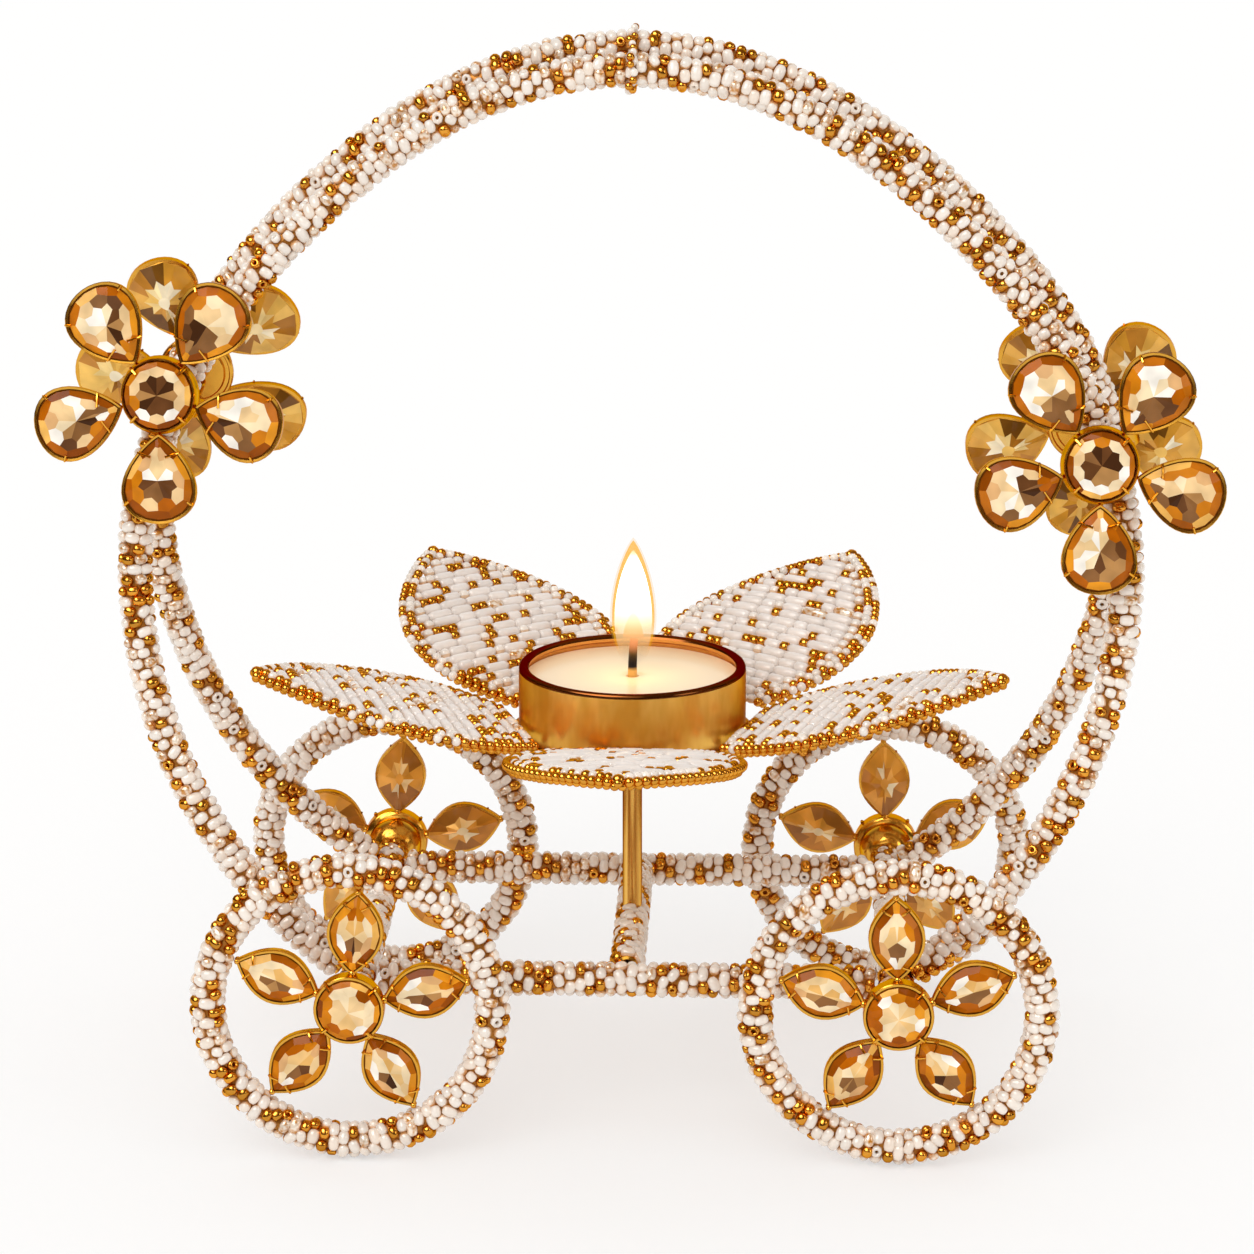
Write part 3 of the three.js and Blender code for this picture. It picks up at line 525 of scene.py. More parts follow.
class Palette:
    """Every material of the holder, made once."""

    def __init__(self) -> None:
        """Builds the materials."""
        self.pearl = PearlGlass("pressed_milk_glass", "FCF6EE", 0.26).build()
        self.bugle = PearlGlass(
            "satin_bugle_glass", "FBF5F1", 0.34, veil="F0E3D8", grain=3.0, coat=0.35,
        ).build()
        self.crystal = LinedGlass("gold_lined_clear_glass", "FFF1DE", 0.15, 0.15).build()
        self.gilt_bead = Gilt("gilt_seed_bead", "E39E3C", 0.11, 1.0).build()
        self.gilt = Gilt("gilt_casting", "E0A640", 0.13, 1.0, grain=2.5).build()
        self.wire = WoundWire("wound_brass_wire", "CE8A30", 0.35, 0.6, shade="6A3608").build()
        # A dark disc down in the open tube's bore: painted shade.
        self.painted_bore_shade = WoundWire("brass_bore_painted_shade", "2A1808", 0.6, 0.4, shade="0E0804").build()
        self.stone = CutGlass("cut_amber_glass", "E0A860", 0.10, coat=0.07).build()
        self.foil = CutGlass("foiled_stone_back", "D8AE58", 0.16, 0.18, coat=0.5).build()
        # Darker gilt for the inner walls and floors of the settings: painted shade in the recess under the
        # stone.
        self.seat = Gilt("setting_floor_painted_shade", "8A4C10", 0.30, 0.6, grain=1.5).build()
        self.tube = StreakedGold(
            "drawn_gilt_tube", "F2BE62", 0.16, 1.0, shade="A8681A", streak=1.0, height=60.0,
        ).build()
        # The cup's darker streaks are painted reflections.
        self.cup = StreakedGold(
            "lacquered_gold_cup", "FBCB68", 0.28, 1.0, shade="DEA440", streak=5.0, height=16.0,
        ).build()
        self.rim = Gilt("bronze_rolled_rim", "6E3E1C", 0.14, 1.0, grain=4.0, dull=0.06, edge="A87850").build()
        # The lining's orange is painted light of the flame on the cup's inner wall.
        self.lining = Gilt("cup_lining_painted_flame_light", "E8A050", 0.30, 0.6, grain=5.0).build()
        self.wax = CandleWax("paraffin_wax", "FAE3BC", 0.42).build()
        self.wick = CharredCotton("charred_cotton_wick", "1C0C06", 0.85).build()
        self.flame_core = FlameGas(
            "flame_core", "FFFCF0", 1.0, alpha=0.46, start=73.2, full=80.0, thin=86.0, gone=92.0,
            bright=14.0, bright_start=76.6,
        ).build()
        self.flame_edge = FlameGas(
            "flame_edge", "FFB31E", 1.0, strength=1.1, alpha=0.55, start=72.0, full=81.0,
        ).build()
        self.flame_halo = FlameGas("flame_halo", "FFC64C", 1.0, alpha=0.16, start=73.5, full=80.0).build()
        self.flame_heart = FlameGas(
            "flame_heart", "FF8600", 1.0, strength=1.5, alpha=0.92, start=75.9, full=77.8,
            thin=78.0, gone=82.5,
        ).build()
        self.steel = DrawnSteel("drawn_steel_rod", "B5A27C", 0.35, 1.0).build()
        self.tin = DrawnSteel("tinned_sheet", "9A9A98", 0.4, 1.0).build()


class Form:
    """A small closed shape that operators made once and that is stamped where it is needed."""

    def __init__(self, bm: BMesh, name: str, sharp: float = 35.0) -> None:
        """Keeps the shape and what its faces carry, and frees the bmesh.

        Args:
            bm: The shape. A face's material_index is its part in the form, its smooth flag its shading.
            name: Name for the mesh data.
            sharp: Edges that turn more than this many degrees stay crisp.
        """
        bmesh.ops.recalc_face_normals(bm, faces=bm.faces[:])
        limit = math.radians(sharp)
        for edge in bm.edges:
            edge.smooth = edge.calc_face_angle(0.0) < limit
        bm.faces.ensure_lookup_table()
        places = bm.verts.layers.int.get("place")
        self.parts = np.array([f.material_index for f in bm.faces], np.int32)
        self.smooth = np.array([f.smooth for f in bm.faces], bool)
        self.centres = np.array([f.calc_center_median()[:] for f in bm.faces], np.float64)
        self.places = np.array([self._place(f, places) for f in bm.faces], np.int32)
        self.mesh = bpy.data.meshes.new(name)
        bm.to_mesh(self.mesh)
        bm.free()
        self.rest = np.empty(len(self.mesh.vertices) * 3, np.float32)
        self.mesh.vertices.foreach_get("co", self.rest)

    def in_order(self) -> list[tuple[int, int, int]]:
        """Lists each face's number, part and place in one order, since operators leave them in any."""
        order = np.lexsort((self.places, self.parts)).tolist()
        return [(i, int(self.parts[i]), int(self.places[i])) for i in order]

    @staticmethod
    def _place(face: BMFace, layer: BMLayerItem | None) -> int:
        """Gives the number of the outline's side that a face stands over."""
        if layer is None:
            return 0
        found = sorted(v[layer] for v in face.verts if v[layer] >= 0)
        if not found:
            return 0
        over_the_start = found[-1] - found[0] > 2
        return found[-1] if over_the_start else found[0]


class Workpiece:
    """One piece of the holder while it is put together, in millimetres about the post."""

    def __init__(self, name: str) -> None:
        """Starts an empty piece."""
        self.name = name
        self.bm = bmesh.new()
        self.chance = random.Random(zlib.crc32(name.encode()))
        self._materials: list[Material] = []
        self._slots: list[np.ndarray] = []
        self._smooth: list[np.ndarray] = []
        self._tints: list[np.ndarray] = []

    def stamp(
        self,
        form: Form,
        place: Matrix,
        materials: Sequence[Material],
        tint: np.ndarray | Sequence[float] = WHITE,
    ) -> None:
        """Adds one copy of a form.

        Args:
            form: The shape.
            place: Where it goes, in millimetres.
            materials: A material for each part of the form.
            tint: One colour for the copy, or one for each of its faces.
        """
        form.mesh.vertices.foreach_set("co", form.rest)
        form.mesh.transform(place)
        self.bm.from_mesh(form.mesh)
        for material in materials:
            if material not in self._materials:
                self._materials.append(material)
        slots = np.array([self._materials.index(m) for m in materials], np.int32)
        self._slots.append(slots[form.parts])
        self._smooth.append(form.smooth)
        self._tints.append(np.broadcast_to(np.asarray(tint, np.float32), (len(form.parts), 4)))

    def finish(self, body: str, nodes: Sequence[str]) -> Object:
        """Turns the piece into an object that rides on its body and stands for its nodes.

        Args:
            body: CAD body that it moves with.
            nodes: CAD nodes that it stands for.

        Returns:
            The finished object, at the origin, in metres.
        """
        mesh = bpy.data.meshes.new(self.name)
        self.bm.to_mesh(mesh)
        self.bm.free()
        mesh.transform(TO_FRAME)
        for material in self._materials:
            mesh.materials.append(material)
        mesh.polygons.foreach_set("material_index", np.concatenate(self._slots))
        mesh.polygons.foreach_set("use_smooth", np.concatenate(self._smooth))
        tint = mesh.attributes.new("tint", "FLOAT_COLOR", "FACE")
        tint.data.foreach_set("color", np.concatenate(self._tints).astype(np.float32).ravel())
        mesh.update()
        piece = bpy.data.objects.new(self.name, mesh)
        bpy.context.scene.collection.objects.link(piece)
        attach(piece, body)
        if nodes:
            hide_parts(*nodes)
        triangles = sum(len(p.vertices) - 2 for p in mesh.polygons)
        LOG.info("%s: %d triangles on %s", self.name, triangles, body)
        return piece


def dress_node(name: str, material: Material) -> None:
    """Gives a CAD node that shows as it is its material.

    Args:
        name: The node.
        material: Its only material.
    """
    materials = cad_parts[name].data.materials
    materials.clear()
    materials.append(material)


class Path(ABC):
    """A line in space that a strand or a wire follows, measured along its length."""

    length: float

    @abstractmethod
    def at(self, s: float) -> Matrix:
        """Gives the place at a distance along the path, with X along it and Z to its side."""

    def frames(self, count: int, start: float = 0.0, end: float | None = None) -> list[Matrix]:
        """Gives evenly spaced places.

        Args:
            count: Number of steps between the first and the last.
            start: Distance of the first.
            end: Distance of the last, or None for the path's end.

        Returns:
            One more place than there are steps.
        """
        last = self.length if end is None else end
        return [self.at(start + (last - start) * i / count) for i in range(count + 1)]


def aligned(position: Vector, along: Vector, side: Vector) -> Matrix:
    """Builds a place from a position and two directions.

    Args:
        position: The origin of the place.
        along: Direction of its X axis.
        side: Rough direction of its Z axis.

    Returns:
        The place, square and right-handed.
    """
    x = along.normalized()
    y = side.cross(x).normalized()
    z = x.cross(y)
    turned = Matrix((x, y, z)).transposed().to_4x4()
    return Matrix.Translation(position) @ turned


@dataclass
class Straight(Path):
    """A straight path."""

    start: Vector
    end: Vector
    side: Vector

    def __post_init__(self) -> None:
        """Measures the path."""
        self.length = (self.end - self.start).length

    def at(self, s: float) -> Matrix:
        """Gives the place at a distance along the line."""
        along = self.end - self.start
        return aligned(self.start + along * (s / self.length), along, self.side)


@dataclass
class Arc(Path):
    """Part of a circle in the XY plane of a place."""

    place: Matrix
    centre: Vector
    radius: float
    begin: float = 0.0
    sweep: float = math.tau

    def __post_init__(self) -> None:
        """Measures the path."""
        self.length = self.radius * self.sweep

    def at(self, s: float) -> Matrix:
        """Gives the place at a distance along the arc, with Z away from the centre."""
        angle = self.begin + s / self.radius
        out = Vector((math.cos(angle), math.sin(angle), 0.0))
        along = Vector((-math.sin(angle), math.cos(angle), 0.0))
        return self.place @ aligned(self.centre + out * self.radius, along, out)


@dataclass
class Through(Path):
    """A path through points, with a direction to its side that is the same all along."""

    points: list[Vector]
    side: Vector
    look: float = 0.4

    def __post_init__(self) -> None:
        """Measures the path."""
        steps = [(b - a).length for a, b in zip(self.points, self.points[1:])]
        self.marks = np.concatenate([[0.0], np.cumsum(steps)])
        self.length = float(self.marks[-1])
        self.table = np.array([p[:] for p in self.points])

    def point(self, s: float) -> Vector:
        """Gives the point at a distance along the path."""
        return Vector([float(np.interp(s, self.marks, self.table[:, k])) for k in range(3)])

    def at(self, s: float) -> Matrix:
        """Gives the place at a distance along the path."""
        reach = min(self.look, self.length / 4)
        along = self.point(min(s + reach, self.length)) - self.point(max(s - reach, 0.0))
        return aligned(self.point(s), along, self.side)


def tube(
    places: Sequence[Matrix], radii: Sequence[float], sides: int, closed: bool = False,
) -> BMesh:
    """Draws a ring of edges along a path into a tube.

    Args:
        places: The path's places, X along it.
        radii: The tube's radius at each place.
        sides: Number of sides.
        closed: Whether the last place is the first one again.

    Returns:
        The tube, with flat ends unless it is closed.
    """
    bm = bmesh.new()
    across = Matrix.Rotation(math.pi / 2, 4, "Y")
    bmesh.ops.create_circle(
        bm, cap_ends=not closed, segments=sides, radius=radii[0], matrix=places[0] @ across,
    )
    edges = bm.edges[:]
    for before, after, old, new in zip(places, places[1:], radii, radii[1:]):
        drawn = bmesh.ops.extrude_edge_only(bm, edges=edges)["geom"]
        edges = [g for g in drawn if isinstance(g, BMEdge)]
        moved = [g for g in drawn if isinstance(g, BMVert)]
        step = after @ Matrix.Scale(new / old, 4) @ before.inverted()
        bmesh.ops.transform(bm, matrix=step, verts=moved)
    if closed:
        bmesh.ops.remove_doubles(bm, verts=bm.verts[:], dist=0.001)
    else:
        bmesh.ops.edgeloop_fill(bm, edges=edges)
    for face in bm.faces:
        face.smooth = True
    return bm


def spun(
    profile: Sequence[tuple[float, float]], steps: int, parts: Sequence[int] = (),
) -> BMesh:
    """Turns a profile about the Z axis.

    Args:
        profile: Radius and height of each point. It starts and ends on the axis, or comes back to its start.
        steps: Number of steps round the axis.
        parts: The form's part for each side of the profile, or nothing for one part.

    Returns:
        The turned shape, closed at its poles and its seam.
    """
    bm = bmesh.new()
    closed = profile[0] == profile[-1]
    points = profile[:-1] if closed else profile
    verts = [bm.verts.new((r, 0.0, z)) for r, z in points]
    ends = verts[1:] + verts[:1] if closed else verts[1:]
    sides = [bm.edges.new(pair) for pair in zip(verts, ends)]
    bmesh.ops.spin(
        bm, geom=verts + sides, cent=(0, 0, 0), axis=UP, angle=math.tau, steps=steps,
        use_merge=True, use_duplicate=False,
    )
    bmesh.ops.remove_doubles(bm, verts=bm.verts[:], dist=0.0005)
    middles = [((a[0] + b[0]) / 2, (a[1] + b[1]) / 2) for a, b in zip(profile, profile[1:])]
    for face in bm.faces:
        face.smooth = True
        if parts:
            spot = face.calc_center_median()
            radius = math.hypot(spot.x, spot.y) / math.cos(math.pi / steps)
            offs = [math.hypot(r - radius, z - spot.z) for r, z in middles]
            face.material_index = parts[offs.index(min(offs))]
    return bm


@dataclass(frozen=True)
class Level:
    """One step of a built-up outline: how large it is there, how high, and what the faces below it are.

    Every second point may be drawn in or out by the factor odd, which makes the step a zigzag.
    """

    x: float
    y: float
    z: float
    part: int = 0
    smooth: bool = False
    odd: float = 1.0


def stacked(outline: Outline, levels: Sequence[Level], peak: float | None = None) -> BMesh:
    """Builds a shape by raising and shrinking an outline step by step.

    Args:
        outline: Points of the outline about its middle.
        levels: The steps from the lowest to the last. The first gives the part of the closing face below.
        peak: Height of the middle of the closing face above, or None to leave it flat.

    Returns:
        The closed shape. Each vertex keeps the number of its outline point in the layer "place".
    """
    bm = bmesh.new()
    place = bm.verts.layers.int.new("place")
    first = levels[0]
    verts = []
    for number, (x, y) in enumerate(outline):
        vert = bm.verts.new((x * first.x, y * first.y, first.z))
        vert[place] = number
        verts.append(vert)
    edges = [bm.edges.new((a, b)) for a, b in zip(verts, verts[1:] + verts[:1])]
    foot = bmesh.ops.edgeloop_fill(bm, edges=edges)["faces"]
    for face in foot:
        face.material_index = first.part
    for level in levels[1:]:
        raised = bmesh.ops.extrude_edge_only(bm, edges=edges)["geom"]
        edges = [g for g in raised if isinstance(g, BMEdge)]
        moved = [g for g in raised if isinstance(g, BMVert)]
        for face in (g for g in raised if isinstance(g, BMFace)):
            face.material_index = level.part
            face.smooth = level.smooth
        for vert in moved:
            x, y = outline[vert[place]]
            draw = level.odd if vert[place] % 2 else 1.0
            vert.co = (x * level.x * draw, y * level.y * draw, level.z)
    top = bmesh.ops.edgeloop_fill(bm, edges=edges)["faces"]
    for face in top:
        face.material_index = levels[-1].part + 1
    if peak is not None:
        fan = bmesh.ops.poke(bm, faces=top)
        for vert in fan["verts"]:
            vert.co.z = peak
            vert[place] = -1
        for face in fan["faces"]:
            face.material_index = levels[-1].part + 1
    return bm


class Bead(enum.Enum):
    """The kinds of bead on a strand."""

    PEARL = "pearl"
    GILT = "gilt"
    CRYSTAL = "crystal"
    TURNED = "turned"


class BeadBox:
    """The bead shapes that the strands and leaves are sewn from."""

    # Painted shade: towards its foot between the beads, a bead's colour goes darker and warmer, as if only
    # the gilt wire's light came there.
    PAINTED_SHADE = (0.82, 0.50, 0.23, 1.0)  # colour factor at a bead's foot, where only the wire's light comes
    FOOT, RISE = -0.30, 0.75          # where the shade ends, and over what height it clears, in radii

    def __init__(self) -> None:
        """Shapes each bead once, with a radius of 1 and its hole along Y."""
        self.seed = Form(self._seed(0.50), "seed_bead", sharp=180.0)
        self.ball = Form(self._seed(0.92), "round_bead", sharp=180.0)
        self.turned = Form(self._ring(), "turned_bead", sharp=180.0)
        self.bugle = Form(self._bugle(8, 0.35), "bugle_bead", sharp=60.0)
        # Painted shade for each face of a seed bead, darker towards its foot.
        self.seed_painted_shade = self._painted_shade(self.seed)

    @staticmethod
    def _painted_shade(form: Form) -> np.ndarray:
        """Paints on each face of a bead the warm shade that it has down between the beads, where only the
        gilt wire shines into it.

        Args:
            form: A bead that is seen along Z.

        Returns:
            A factor for the colour of each face: the painted shade.
        """
        up = np.clip((form.centres[:, 2:3] - BeadBox.FOOT) / BeadBox.RISE, 0.0, 1.0)
        up = up * up * (3 - 2 * up)
        return np.array([BeadBox.PAINTED_SHADE]) * (1 - up) + up

    @staticmethod
    def _seed(fullness: float) -> BMesh:
        """Makes a barrel-shaped bead from a ball by filling out its ends, the more the lower fullness is."""
        bm = bmesh.new()
        bmesh.ops.create_uvsphere(bm, u_segments=10, v_segments=6, radius=1.0)
        for vert in bm.verts:
            flat = math.hypot(vert.co.x, vert.co.y)
            if flat > 1e-6:
                vert.co.xy = vert.co.xy * (flat ** fullness / flat)
        bmesh.ops.rotate(bm, verts=bm.verts[:], cent=(0, 0, 0), matrix=Matrix.Rotation(math.pi / 2, 3, "X"))
        for face in bm.faces:
            face.smooth = True
        return bm

    @staticmethod
    def _ring() -> BMesh:
        """Makes a bead that shows its hole, by spinning a ring of edges."""
        bm = bmesh.new()
        upright = Matrix.Rotation(math.pi / 2, 4, "X") @ Matrix.Diagonal((1, 2.0, 1, 1))
        bmesh.ops.create_circle(
            bm, cap_ends=False, segments=6, radius=0.36, matrix=Matrix.Translation((0.64, 0, 0)) @ upright,
        )
        bmesh.ops.spin(
            bm, geom=bm.verts[:] + bm.edges[:], cent=(0, 0, 0), axis=UP, angle=math.tau, steps=8,
            use_merge=True, use_duplicate=False,
        )
        bmesh.ops.remove_doubles(bm, verts=bm.verts[:], dist=0.001)
        for face in bm.faces:
            face.smooth = True
        return bm

    @staticmethod
    def _bugle(sides: int, ease: float) -> BMesh:
        """Makes a short tube bead of length 2 along Y, with eased ends."""
        bm = bmesh.new()
        bmesh.ops.create_cone(
            bm, cap_ends=True, segments=sides, radius1=1.0, radius2=1.0, depth=2.0,
            matrix=Matrix.Rotation(math.pi / 2, 4, "X"),
        )
        rims = [e for e in bm.edges if abs(e.verts[0].co.y - e.verts[1].co.y) < 0.01]
        bmesh.ops.bevel(
            bm, geom=rims, offset=ease, offset_type="OFFSET", segments=1, profile=0.5, affect="EDGES",
            material=-1,
        )
        for face in bm.faces:
            face.smooth = True
        return bm


@dataclass
class Strand:
    """A cord of seed beads sewn round a core that is wound with brass wire."""

    SHADES = {
        Bead.PEARL: (0.90, 1.0), Bead.TURNED: (0.86, 1.0), Bead.CRYSTAL: (0.8, 1.0), Bead.GILT: (0.72, 1.10),
    }
    LENGTHS = (0.98, 1.12, 1.20, 1.28)  # of the white and clear beads along the strand's turn

    palette: Palette
    box: BeadBox
    radius: float = 3.0
    pitch: float = 1.70
    around: int = 6
    row_twist: float = 0.11
    core_share: float = 0.64
    core_step: float = 4.0
    core_sides: int = 10
    core_inset: float = 0.6
    gilt_share: float = 0.22
    crystal_share: float = 0.12
    turned_share: float = 0.05
    crowd_share: float = 0.45
    patch_share: float = 0.275
    patch_scale: float = 0.16

    def sew(self, piece: Workpiece, path: Path, closed: bool = False, clusters: float = 0.0) -> None:
        """Sews the beads of one strand and lays its core.

        Args:
            piece: The piece that gets them.
            path: The middle line of the strand.
            closed: Whether the strand is a ring.
            clusters: How far gilt beads crowd both ends, in millimetres.
        """
        rows = max(2, round(path.length / self.pitch))
        margin = 0.0 if closed else self.pitch / 2
        step = (path.length - 2 * margin) / (rows if closed else rows - 1)
        for row in range(rows):
            s = margin + row * step
            turn = math.pi / self.around * (row % 2) + row * self.row_twist
            for number in range(self.around):
                self._place(piece, path, s, turn + number * math.tau / self.around, clusters)
        steps = max(8, round(path.length / self.core_step))
        ends = 0.0 if closed else self.core_inset
        places = path.frames(steps, ends, path.length - ends)
        core = tube(places, [self.radius * self.core_share] * len(places), self.core_sides, closed)
        piece.stamp(Form(core, "core"), IN_PLACE, [self.palette.wire])

    def _place(self, piece: Workpiece, path: Path, s: float, angle: float, clusters: float) -> None:
        """Sews one bead, a little off its place and size as a hand sews it."""
        chance = piece.chance
        spot = path.at(s) @ Matrix.Rotation(angle + chance.uniform(-0.13, 0.13), 4, "X")
        crowded = min(s, path.length - s) < clusters
        kind = self._pick(chance, (spot @ Matrix.Translation((0, 0, self.radius))).translation, crowded)
        level = chance.uniform(*self.SHADES[kind])
        warm = chance.uniform(0.0, 0.04) if chance.random() < 0.75 else chance.uniform(0.05, 0.12)
        tint = (level, level * (1 - warm * 0.5), level * (1 - warm), 1.0)
        swell = chance.uniform(0.90, 1.10)
        tilt = Matrix.Rotation(chance.gauss(0, 0.26), 4, "Z") @ Matrix.Rotation(chance.gauss(0, 0.12), 4, "X")
        if kind is Bead.GILT:
            size = (0.90 * swell, chance.uniform(0.92, 1.10), 0.90 * swell)
            form, material = self.box.seed, self.palette.gilt_bead
        elif kind is Bead.TURNED:
            size = (0.92 * swell, 1.05 * swell, 0.8)
            form = self.box.turned
            material = self.palette.pearl if chance.random() < 0.6 else self.palette.gilt_bead
        else:
            size = (0.92 * swell, chance.choice(self.LENGTHS) * swell, 0.92 * swell)
            form = self.box.seed
            material = self.palette.pearl if kind is Bead.PEARL else self.palette.crystal
            # Painted shade at the bead's foot, where it meets its neighbours.
            tint = self.box.seed_painted_shade * np.array(tint)
        depth = self.radius - size[2] + chance.uniform(-0.10, 0.04)
        slide = Matrix.Translation((chance.uniform(-0.2, 0.2), 0.0, depth))
        piece.stamp(form, spot @ slide @ tilt @ Matrix.Diagonal((*size, 1.0)), [material], tint)

    def _pick(self, chance: random.Random, spot: Vector, crowded: bool) -> Bead:
        """Chooses a bead, so that gilt ones gather in patches as they do when sewn by hand."""
        drift = noise.noise(spot * self.patch_scale) * self.patch_share
        draw = chance.random()
        gilt = self.gilt_share + drift + (self.crowd_share if crowded else 0.0)
        if draw < gilt:
            return Bead.GILT
        if draw < gilt + self.crystal_share:
            return Bead.CRYSTAL
        if draw < gilt + self.crystal_share + self.turned_share:
            return Bead.TURNED
        return Bead.PEARL

    def open_end(self, piece: Workpiece, mouth: Matrix) -> None:
        """Finishes a strand's end as the open brass tube of its core.

        Args:
            piece: The piece that gets the tube end.
            mouth: Place of the end, X out of it.
        """
        lip = spun([(1.15, -1.6), (1.15, 0.35), (1.4, 0.55), (1.85, 0.35), (1.85, -1.6), (1.15, -1.6)], 16)
        turned = mouth @ Matrix.Rotation(math.pi / 2, 4, "Y")
        piece.stamp(Form(lip, "tube_lip"), turned, [self.palette.gilt])
        # A dark disc inside the tube: painted shade in its bore.
        dark = spun([(0.0, -0.9), (1.25, -0.9), (1.25, -0.5), (0.0, -0.5)], 16)
        piece.stamp(Form(dark, "tube_bore"), turned, [self.palette.painted_bore_shade])


class Fan(enum.Enum):
    """How the middle facets of a stone look: cream is painted light and brown painted shade, below meaning
    away from the world's up.
    """

    SPLIT = "cream above, brown below"
    WARM = "mostly cream, a little brown below"
    CREAM = "cream all round"
    DARK = "brown all round"


# Tones of the cut stones from the setting to the middle. A tone that comes twice is drawn twice as often.
# These tones are painted reflection and shade of the foil under the glass: the palest ones are painted
# glints, and the lit and shaded sets paint light on facets that lie towards the world's up and shade on those
# below.
GIRDLE_TONE = "9C4E08"
AMBER_TONES = ("A8580A", "9C4E08", "C06C14", "8C4406", "D07C12", "C06C14", "B86008", "EC9A24", "F8BE60")
RING_TONES = {
    Fan.DARK: ("FFF8EC", "F8E0B6", "FFF8EC", "EFCA94", "D07C12", "F8E0B6"),
    Fan.CREAM: ("D07C12", "9C4E08", "FFF8EC", "EC9A24", "F8E0B6", "B86008"),
    Fan.WARM: ("F8E0B6", "F2CF98", "FFF8EC", "D07C12", "B86008", "E2B078"),
}
LIT_RING_TONES = ("FFF8EC", "F8E0B6", "FFF8EC", "EFCA94", "E2B078", "D07C12", "8A5E36")
SHADED_RING_TONES = ("B4844E", "8A5E36", "684022", "B86008", "EFCA94", "D07C12", "FFF8EC")
FAN_TONES = {
    Fan.CREAM: ("F2CF98", "F0C482", "F8E0B6", "EFCA94"),
    Fan.DARK: ("8A5E36", "684022", "B4844E", "482A16", "684022", "482A16"),
}
LIT_FAN_TONES = {
    Fan.WARM: ("F2CF98", "F0C482", "F8E0B6", "E8B468"),
    Fan.SPLIT: ("F8E0B6", "EFCA94", "F2CF98", "FFF8EC"),
}
SHADED_FAN_TONES = ("8A5E36", "684022", "B4844E", "482A16", "8A5E36")
# The foiled backs' tones are painted reflection of the foil, the palest a painted highlight in the middle;
# the wheels' brighter amber ones also paint the light that shines through the stones.
FLOWER_BACK_TONES = ("FFF2D0", "FFE8B0", "F6D68C", "F0C060", "D89A34", "A86E20", "744A14", "E4AC4C", "C48430")
WHEEL_BACK_TONES = ("FFE9BC", "FDD694", "F8BE66", "EEA642", "CC842A", "E09A38", "A86A24")
CLAW_TINT = (1.15, 1.15, 1.1, 1.0)


def marquise(length: float, width: float, count: int) -> Outline:
    """Draws two equal bows that meet in points on the X axis.

    Args:
        length: From point to point.
        width: Across the middle.
        count: Number of outline points.

    Returns:
        The outline, anticlockwise.
    """
    points = []
    for i in range(count):
        u = math.cos(math.tau * i / count)
        side = 1 if i < count / 2 else -1
        points.append((u * length / 2, side * (1 - u * u) * width / 2))
    return points


def disc(length: float, width: float, count: int) -> Outline:
    """Draws a round outline.

    Args:
        length: Its size along X.
        width: Its size along Y.
        count: Number of outline points.

    Returns:
        The outline, anticlockwise.
    """
    turns = [math.tau * i / count for i in range(count)]
    return [(length / 2 * math.cos(turn), width / 2 * math.sin(turn)) for turn in turns]


def pear(length: float, width: float, count: int) -> Outline:
    """Draws an outline that is round at +X and drawn out to a point at -X.

    Args:
        length: From the point to the round end.
        width: Across the fullest part.
        count: Number of outline points.

    Returns:
        The outline.
    """
    taper = 0.75
    fullest = math.pi - 2 * math.atan(math.sqrt(1 / (1 + taper)))
    norm = math.sin(fullest) * math.sin(fullest / 2) ** taper
    points = []
    for i in range(count):
        angle = math.tau * i / count
        y = math.sin(angle) * abs(math.sin(angle / 2)) ** taper / norm
        points.append((-math.cos(angle) * length / 2, -y * width / 2))
    return points


